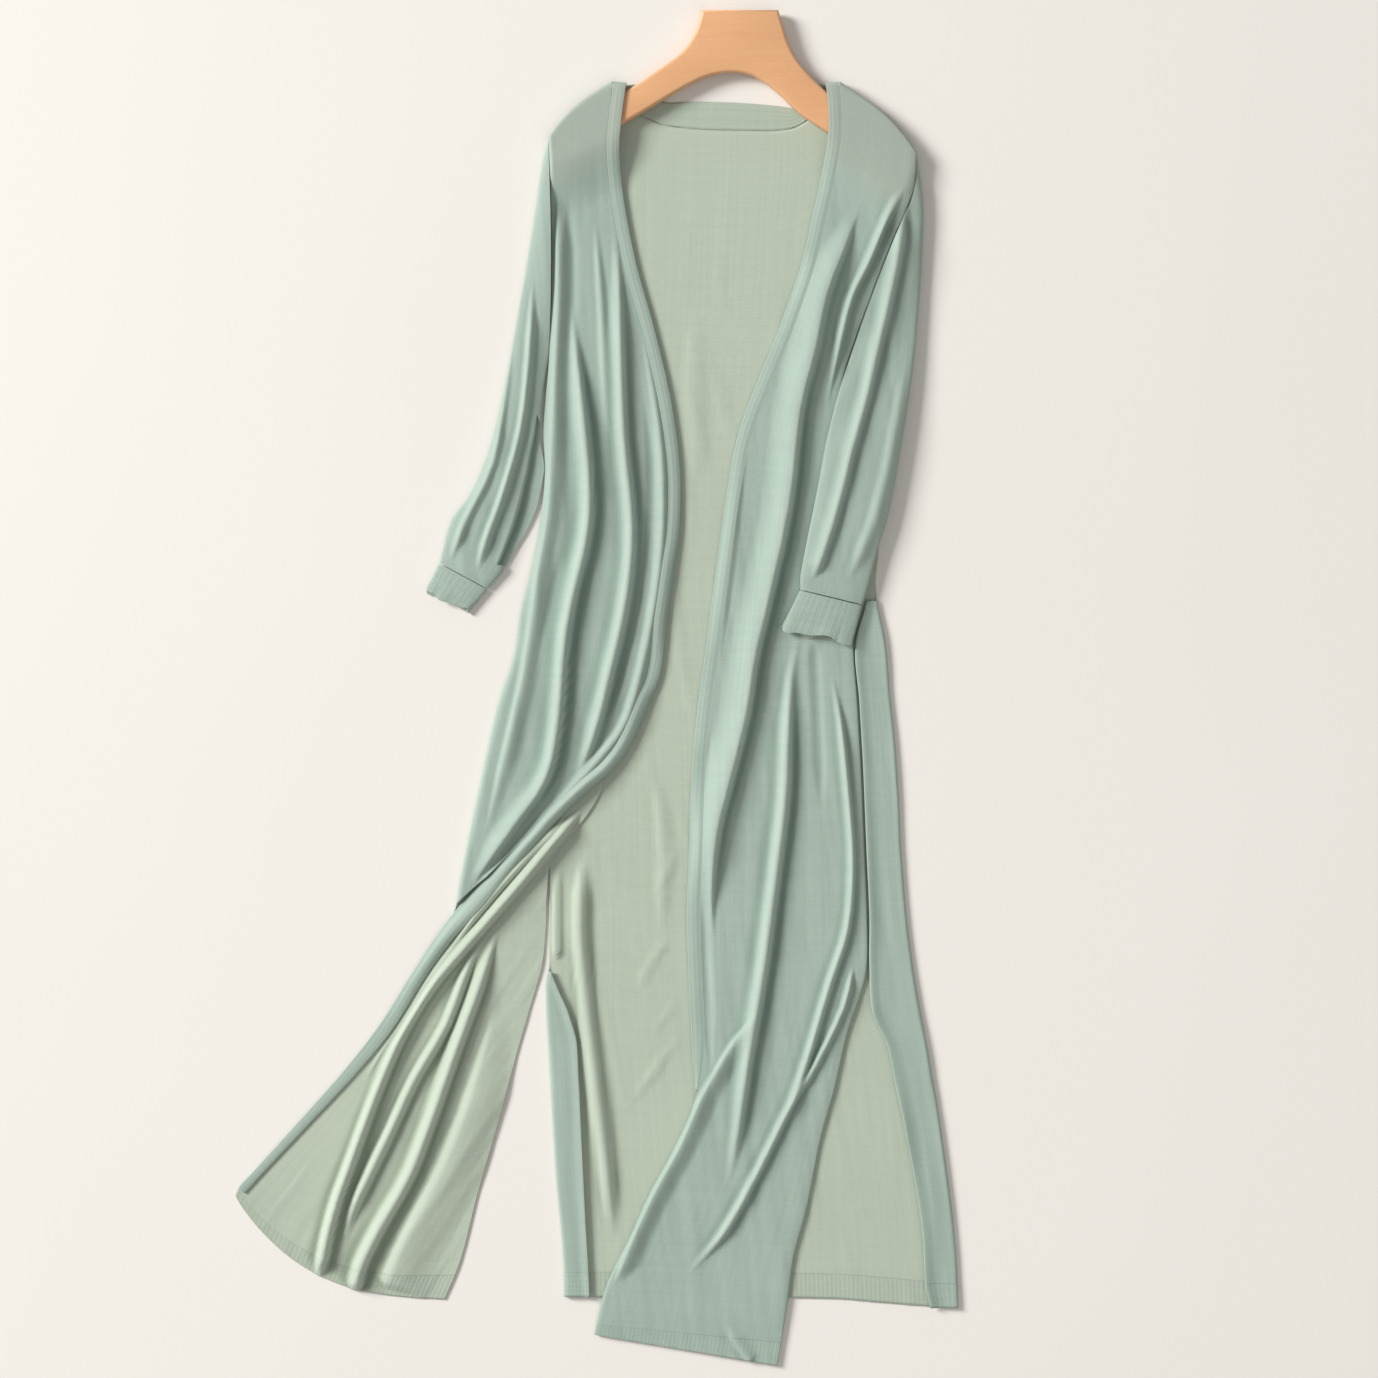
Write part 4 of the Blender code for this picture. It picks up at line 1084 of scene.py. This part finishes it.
# %% Right front: pieces
shoulder_rows = list(np.linspace(0.0, 1.0, 21)[:-1])
right_rows = shoulder_rows + list(np.linspace(1.0, 5.0, 56)[:-1]) + list(np.linspace(5.0, 9.0, 42)[:-1])
right_rows += list(np.linspace(9.0, 13.0, 52)[:-1]) + list(np.linspace(13.0, RIGHT_TIP_AT, 38))
TURNED_START = min(v for v in right_rows if v >= TURNED_FIRST_AT)
turned_rows = [v for v in right_rows if v >= TURNED_START]
fan_rows = list(np.linspace(RIGHT_TIP_AT, TURNED_HEM_AT - 0.02, 129)[1:])
fan_rows += [TURNED_HEM_AT - 0.006, TURNED_HEM_AT - 0.002]
turned_shares = edge_dense(128, 0.6)

mesh = bmesh.new()
lay_grid(mesh, right_rows, seam_at(edge_dense(58, 0.5), 1), right_upper_place, (0.16, 0.9))
lay_grid(mesh, turned_rows + fan_rows, turned_shares, turned_place, (0.2, 0.9), flip=True)
cloth_piece("right_front_cloth", mesh, KNIT, "right_front")

mesh = bmesh.new()
hem_rows = [TURNED_HEM_AT, *np.linspace(TURNED_HEM_AT + 0.004, TURNED_LAST_AT, 10)]
lay_grid(mesh, hem_rows, turned_shares, turned_place, (0.22, 0.026), flip=True)
cloth_piece("right_front_hem_rib", mesh, RIB, "right_front_hem")


# %% Right front band
def right_band_place(at, u):
    """u runs from the seam to the free edge. Past the twist the seam is the fold at the outline."""
    edge = curve(RIGHT_EDGE, at)[:, :2]
    seam = curve(RIGHT_SEAM, at)
    place = seam + (edge - seam) * u[:, None]
    level = right_front_top(*seam.T)
    free = FRONT_LOWEST_TOP + 1.4 + 2.6 * smooth(12.5, 14.5, at) * smooth(20.5, 19, at)
    free = free + (OVER_HANGER + 0.3 - free) * arm_lift(*edge.T)
    in_fan = smooth(18.9, 21.0, at)
    level = level + (3.6 - level) * smooth(17.0, 18.7, at)
    free = free + (3.4 - free) * in_fan
    crown = BAND_CROWN + SASH_CROWN * smooth(12.0, 15.0, at) * smooth(22.5, 19.5, at)
    top = level + (free - level) * u**2 + crown * np.sin(math.pi * u)
    top = shoulder_turn(top, at * BAND_STEP)
    return np.column_stack([place, top])


mesh = bmesh.new()
band_rows = list(keyed(RIGHT_RUNGS, np.array(right_rows))[:, 0])
band_rows += list(np.linspace(band_rows[-1], len(RIGHT_EDGE) - 1, 130)[1:])
lay_grid(mesh, band_rows, seam_at(edge_dense(9, 0.6), 0), right_band_place, (0.013, 1.3))
cloth_piece("right_front_band_rib", mesh, RIB, "right_front_band")

# %% Left front: places
LEFT_PANEL_EDGE = offset_edge(LEFT_EDGE, 1, BAND_GAP)
LEFT_SEAM = offset_edge(LEFT_EDGE, 1)


def left_front_top(x, y):
    top = FRONT_TOP + fold_height(LEFT_FOLDS, x, y) + unevenness(x, y, 0.7, 0.1, 7.0)
    top = np.maximum(top, FRONT_LOWEST_TOP)
    top = top + (OVER_HANGER - top) * arm_lift(x, y)
    return top - 1.8 * smooth(-624, -655, y)


def left_front_place(at, u):
    """The left front. u runs from the band's seam, or the fold below it, to the side line."""
    edge_at, bow = keyed(LEFT_RUNGS, at).T
    end = curve(LEFT_SIDE, at)
    start = curve(LEFT_PANEL_EDGE, edge_at)
    start[:, 0] += TOP_GAP * smooth(0.35, 0.0, at)
    place = start + (end - start) * u[:, None]
    place[:, 1] += bow * np.sin(math.pi * u**1.3)
    top = left_front_top(*place.T)
    from_side = np.hypot(*(place - end).T)
    side_top = 4.0 + 9.0 * smooth(2.5, 0.0, at) + 2.0 * smooth(4.8, 2.0, at)
    side_top = np.minimum(side_top, top)
    top = side_top + (top - side_top) * round_over(from_side, 12.0)
    from_fold = np.hypot(*(place - start).T)
    middle = left_tuck_under(place[:, 1]) + FOLD_MIDDLE - 0.6
    folded = edge_at >= LEFT_CORNER_AT - 1e-6
    top = np.where(folded, middle + (top - middle) * round_over(from_fold, 4.0), top)
    top = shoulder_turn(top, at * SHOULDER_STEP)
    return np.column_stack([place, top])


def left_tuck_under(y):
    return OVER_BACK - 1.8 * smooth(-624, -655, y)


def left_tuck_place(at, u):
    """The part turned under at the left front's lower opening. u runs from its hidden edge to the fold."""
    u = 1.0 - u
    edge_at = keyed(LEFT_RUNGS, at)[:, 0]
    fold_line = curve(LEFT_PANEL_EDGE, edge_at)
    fold_line[:, 0] += TOP_GAP * smooth(0.35, 0.0, at)
    towards = curve(LEFT_SIDE, at) - fold_line
    towards /= np.hypot(*towards.T)[:, None]
    width = keyed(TUCK_WIDTHS, edge_at)[:, 0]
    place = fold_line + towards * (width * u)[:, None]
    under = left_tuck_under(place[:, 1])
    middle = left_tuck_under(fold_line[:, 1]) + FOLD_MIDDLE - 0.6
    under = middle + (under - middle) * round_over(width * u, 3.0)
    return np.column_stack([place, under])


# %% Left front: pieces
LEFT_LOWER_AT = 18.0
left_rows = list(np.linspace(0.0, 1.0, 21)[:-1]) + list(np.linspace(1.0, LEFT_LOWER_AT, 240))
tuck_rows = list(np.linspace(LEFT_LOWER_AT, LEFT_HEM_AT - 0.012, 82))
tuck_rows += [LEFT_HEM_AT - 0.005, LEFT_HEM_AT - 0.002]

mesh = bmesh.new()
lay_grid(mesh, left_rows + tuck_rows[1:], seam_at(edge_dense(88, 0.5), 0), left_front_place, (0.17, 1.25))
lay_grid(mesh, tuck_rows, np.linspace(0, 1, 8), left_tuck_place, (0.03, 0.26))
cloth_piece("left_front_cloth", mesh, KNIT, "left_front")

mesh = bmesh.new()
hem_rows = [LEFT_HEM_AT, *np.linspace(LEFT_HEM_AT + 0.003, LEFT_LAST_AT, 10)]
lay_grid(mesh, hem_rows, seam_at(edge_dense(88, 0.5), 0), left_front_place, (0.19, 0.024))
lay_grid(mesh, hem_rows, np.linspace(0, 1, 8), left_tuck_place, (0.03, 0.024))
cloth_piece("left_front_hem_rib", mesh, RIB, "left_front_hem")


# %% Left front band
def left_band_place(at, u):
    """u runs from the free edge to the seam."""
    edge = curve(LEFT_EDGE, at)[:, :2]
    seam = curve(LEFT_SEAM, at)
    place = edge + (seam - edge) * u[:, None]
    level = left_front_top(*seam.T)
    free = FRONT_LOWEST_TOP + 0.6
    free = free + (OVER_HANGER + 0.3 - free) * arm_lift(*edge.T)
    top = free + (level - free) * (1 - (1 - u) ** 2) + BAND_CROWN * np.sin(math.pi * u)
    top = shoulder_turn(top, at * BAND_STEP)
    return np.column_stack([place, top])


mesh = bmesh.new()
band_rows = [v for v in keyed(LEFT_RUNGS, np.array(left_rows))[:, 0] if v < 19.8]
lay_grid(mesh, band_rows, seam_at(edge_dense(9, 0.6), 1), left_band_place, (0.013, 1.06))
cloth_piece("left_front_band_rib", mesh, RIB, "left_front_band")

# %% [markdown]
# ## The back
# The back lies wrong side up on the surface. At each slit its edge is folded over on top of it.


# %% Back: places
BACK_OUTLINE = RIGHT_SHOULDER + [(x, y - SEAM_GAP) for _fx, _fy, x, y, _rise in NECK_BAND] + LEFT_SHOULDER
BACK_FIRST_X = BACK_OUTLINE[0][0]
BACK_WIDTH = BACK_OUTLINE[-1][0] - BACK_FIRST_X
BACK_SHARES = [(x - BACK_FIRST_X) / BACK_WIDTH for x, _y in BACK_OUTLINE]


def back_row_y(row, u):
    """y of a row of the back: row 0 is the neckline and shoulders, 1 the hem's seam."""
    top = np.interp(u, BACK_SHARES, [y for _x, y in BACK_OUTLINE])
    foot = keyed(BACK_SEAM_Y, u)[:, 0]
    return top + (foot - top) * row


def back_place(row, u):
    """The back's underside, which is its right side. The flaps' folds lift its two sides."""
    y = back_row_y(row, u)
    left = keyed(BACK_LEFT_X, y)[:, 0]
    right = keyed(BACK_RIGHT_X, y)[:, 0]
    x = left + (right - left) * u
    wave = unevenness(x, y, 0.9, 0.15, 11.0) * smooth(470, 380, y)
    under = np.maximum(fold_height(BACK_FOLDS, x, y) + wave - 0.15, 0.0)
    left_fold = FOLD_MIDDLE * smooth(RIGHT_FLAP_FIRST_Y + 8, RIGHT_FLAP_FIRST_Y, y)
    right_fold = FOLD_MIDDLE * smooth(LEFT_FLAP_FIRST_Y + 8, LEFT_FLAP_FIRST_Y, y)
    under += (left_fold - under) * (1 - round_over(x - left, 3.0))
    under += (right_fold - under) * (1 - round_over(right - x, 3.0))
    return np.column_stack([x, y, under])


def flap_place(side):
    """Places of a flap's upper side. u runs from the fold at the outline to the free edge."""
    edge_rows = RIGHT_FLAP_EDGE_X if side < 0 else LEFT_FLAP_EDGE_X

    def place(row, u):
        y = back_row_y(row, np.full(len(row), 0.0 if side < 0 else 1.0))
        fold_x = keyed(BACK_LEFT_X if side < 0 else BACK_RIGHT_X, y)[:, 0]
        edge_x = keyed(edge_rows, y)[:, 0]
        x = fold_x + (edge_x - fold_x) * u
        level = FLAP_TOP + np.maximum(unevenness(x, y, 1.0, 0.1, 13.0), -0.4)
        level += 1.8 * smooth(9.0, 1.0, np.abs(edge_x - x))
        top = FOLD_MIDDLE + (level - FOLD_MIDDLE) * round_over(np.abs(x - fold_x), 3.0)
        return np.column_stack([x, y, top])

    return place


def row_at(share, y):
    """The row of the back that passes through y at a share of the width."""
    top = np.interp(share, BACK_SHARES, [v for _x, v in BACK_OUTLINE])
    foot = keyed(BACK_SEAM_Y, np.array([share]))[0, 0]
    return (top - y) / (top - foot)


# %% Back: pieces
first_left = row_at(1.0, LEFT_FLAP_FIRST_Y)
first_right = row_at(0.0, RIGHT_FLAP_FIRST_Y)
back_rows = list(np.linspace(0.0, first_left, 110)[:-1]) + list(np.linspace(first_left, first_right, 90)[:-1])
back_rows += list(np.linspace(first_right, 0.9990, 90)) + [0.9998, 0.9999]
near_edges = [0.003, 0.007, 0.012, 0.988, 0.993, 0.997]
back_shares = sorted(set([*BACK_SHARES, *np.linspace(0.02, 0.98, 80), *near_edges]))


def back_grids(mesh, rows, length):
    """The back's panel and its two flaps. length is the flat cloth's, in metres."""
    lay_grid(mesh, rows, back_shares, back_place, (0.38, length), flip=True)
    right_flap_rows = [v for v in rows if v >= first_right - 1e-9]
    left_flap_rows = [v for v in rows if v >= first_left - 1e-9]
    flap_shares = edge_dense(12, 0.4)
    lay_grid(mesh, right_flap_rows, flap_shares, flap_place(-1), (0.03, length * 0.3))
    lay_grid(mesh, left_flap_rows, flap_shares[::-1], flap_place(1), (0.03, length * 0.6))


mesh = bmesh.new()
back_grids(mesh, back_rows, 1.14)
cloth_piece("back_cloth", mesh, KNIT, "back")

mesh = bmesh.new()
back_grids(mesh, [1.0, 1.0001, *np.linspace(1.0010, 1.0 + BACK_HEM_DROP / (557 + 585), 9)], 0.025)
cloth_piece("back_hem_rib", mesh, RIB, "back_hem")


# %% Neck band
def neck_band_place(at, u):
    rows = curve(NECK_BAND, at)
    free, seam = rows[:, 0:2], rows[:, 2:4]
    place = free + (seam - free) * u[:, None]
    return np.column_stack([place, np.maximum(rows[:, 4], 0.0)])


mesh = bmesh.new()
neck_rows = list(np.linspace(0, len(NECK_BAND) - 1, 101))
lay_grid(mesh, neck_rows, np.linspace(0, 1, 11), neck_band_place, (0.025, 0.2))
cloth_piece("neck_band_rib", mesh, RIB, "neck_band")

# %% [markdown]
# ## Sleeves and cuffs
# A laid sleeve is a tube pressed flat. Each ring goes round from the outer side over the top to the inner side
# and back beneath. The sleeve's head follows the armhole. The cuffs are short ribbed tubes.

# %% Sleeves and cuffs: places
TUBE_EDGE = 3.0


def armhole_bend(head, side, last_at, gap):
    """How far a ring's points move so that the sleeve's head follows the armhole's curve."""

    def bend(at, share):
        chord = np.array(head[0:2]) + np.outer(share, np.array(head[2:4]) - np.array(head[0:2]))
        armhole = curve(side, 0.1 + share * (last_at - 0.1)) + np.array(gap)
        return (armhole - chord) * smooth(4.5, 0.0, at)[:, None]

    return bend


def tube_place(table, folds, bend=None, ribs=0, rib_height=0.0, uneven=0.0, frill=0.0, shelf=None):
    """Places round a flattened tube. u goes once round, from the outer side over the top.
    frill waves the last row. shelf(at) is how far the lower layer shows beyond the inner side."""

    def place(at, u):
        row = curve(table, at)
        angle = 2 * math.pi * u
        share = 0.5 - 0.5 * np.cos(angle)
        spot = row[:, 0:2] + (row[:, 2:4] - row[:, 0:2]) * share[:, None]
        if bend:
            spot = spot + bend(at, share)
        low = row[:, 4] + (row[:, 5] - row[:, 4]) * share
        high = row[:, 6] + (row[:, 7] - row[:, 6]) * share
        swell = np.abs(np.sin(angle))
        raised = rib_height * (0.5 + 0.5 * np.cos(ribs * angle)) if ribs else 0.0
        soft = unevenness(spot[:, 0], spot[:, 1], uneven, 0.1, 17.0) if uneven else 0.0
        upper = low + TUBE_EDGE + (high - TUBE_EDGE) * swell**0.6 + raised * swell
        upper = upper + (fold_height(folds, *spot.T) + soft) * swell
        lower = low + TUBE_EDGE - TUBE_EDGE * swell**0.5
        height = np.where(np.sin(angle) >= 0, upper, lower)
        if shelf:
            out = smooth(0.16, 0.0, np.abs(u - 0.5)) * (shelf(at) > 0.01)
            spot[:, 0] += shelf(at) * out
            top_side = np.sin(angle) >= 0
            height = np.where((out > 0.25) & top_side, np.minimum(height, low + 2.4), height)
            height = np.where((out > 0.05) & ~top_side, low + 0.6 * (1 - out), height)
        if frill:
            last = smooth(0.35, 1.0, at / (len(table) - 1))
            wave = np.sin(angle * 3 + 0.6) + 0.5 * np.sin(angle * 7 + 2.0)
            run = row[:, 2:4] - row[:, 0:2]
            run /= np.hypot(*run.T)[:, None]
            spot = spot + np.column_stack([-run[:, 1], run[:, 0]]) * (frill * last * wave)[:, None]
            height = height + 0.35 * frill * last * np.abs(wave) * (np.sin(angle) >= 0)
        return np.column_stack([spot, height])

    return place


def tube_piece(name, node, table, folds, rows, around, kind, flat, rests_on, **shape):
    """A flattened tube of cloth. shape goes to tube_place."""
    mesh = bmesh.new()
    last = len(table) - 1
    shares = np.linspace(0, 1, around + 1)
    outer_on_right = table[0][0] > table[0][2]
    places = [0, 0.004, *np.linspace(0, last, rows)[1:-1], last - 0.004, last]
    around_width = (2 * flat[0], flat[1])
    seen = dark_inner_side if "shelf" in shape else on_top_of_tube
    lay_grid(mesh, places, shares, tube_place(table, folds, **shape), around_width, outer_on_right, seen)
    return cloth_piece(name, mesh, kind, node, even=False)


# %% Sleeves and cuffs: pieces
right_bend = armhole_bend(RIGHT_SLEEVE[0], RIGHT_SIDE, 4.0, (-0.6, 0.0))
left_bend = armhole_bend(LEFT_SLEEVE[0], LEFT_SIDE, 5.0, (0.7, -0.3))
def underarm_shelf(at):
    """The right sleeve's lower layer shows below the underarm, deep between the sleeve and the body."""
    return 15.0 * smooth(3.6, 5.6, at) * smooth(9.0, 6.6, at)


tube_piece("right_sleeve_cloth", "right_sleeve", RIGHT_SLEEVE, RIGHT_SLEEVE_FOLDS, 150, 96, KNIT,
           (0.09, 0.45), ["pale_surface"], bend=right_bend, uneven=0.8,
           shelf=underarm_shelf)
tube_piece("left_sleeve_cloth", "left_sleeve", LEFT_SLEEVE, LEFT_SLEEVE_FOLDS, 150, 96, KNIT,
           (0.12, 0.46), ["left_front_cloth"], bend=left_bend, uneven=0.8)
tube_piece("right_cuff_rib", "right_cuff", RIGHT_CUFF, [], 14, 208, RIB,
           (0.13, 0.028), ["pale_surface"], ribs=26, rib_height=0.12, frill=1.6)
tube_piece("left_cuff_rib", "left_cuff", LEFT_CUFF, [], 18, 240, RIB,
           (0.15, 0.041), ["left_front_cloth"], ribs=30, rib_height=0.12, frill=2.2)

# %% [markdown]
# ## The hanger
# A flat board of beech with softly rounded edges. It is drawn as one face, pulled up to its thickness, and its
# two rims are bevelled.

# %% Hanger
HANGER_EDGE_ROUND = 3.2
outline = HANGER_OUTLINE[1:] + HANGER_OUTLINE[:1]
outline = curve(outline, np.linspace(0, len(outline) - 1, 4 * (len(outline) - 1) + 1))
mesh = bmesh.new()
corners = [mesh.verts.new((x * MM, y * MM, HANGER_BOTTOM * MM)) for x, y in outline]
board = mesh.faces.new(corners)
pulled = bmesh.ops.extrude_face_region(mesh, geom=[board])
lifted = [item for item in pulled["geom"] if isinstance(item, bmesh.types.BMVert)]
bmesh.ops.translate(mesh, verts=lifted, vec=(0, 0, HANGER_THICK * MM))
bmesh.ops.recalc_face_normals(mesh, faces=mesh.faces)
rims = [e for e in mesh.edges if abs(e.verts[0].co.z - e.verts[1].co.z) < 1e-6]
bmesh.ops.bevel(mesh, geom=rims, offset=HANGER_EDGE_ROUND * MM, offset_type="OFFSET", segments=5, profile=0.5,
                affect="EDGES", material=-1, clamp_overlap=True)
bmesh.ops.triangulate(mesh, faces=[f for f in mesh.faces if len(f.verts) > 4])
data = bpy.data.meshes.new("hanger_board")
mesh.to_mesh(data)
mesh.free()
data.shade_smooth()
data.materials.append(WOOD)
hanger = bpy.data.objects.new("hanger_board", data)
bpy.context.scene.collection.objects.link(hanger)
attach(hanger, "root")
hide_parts("wooden_hanger")
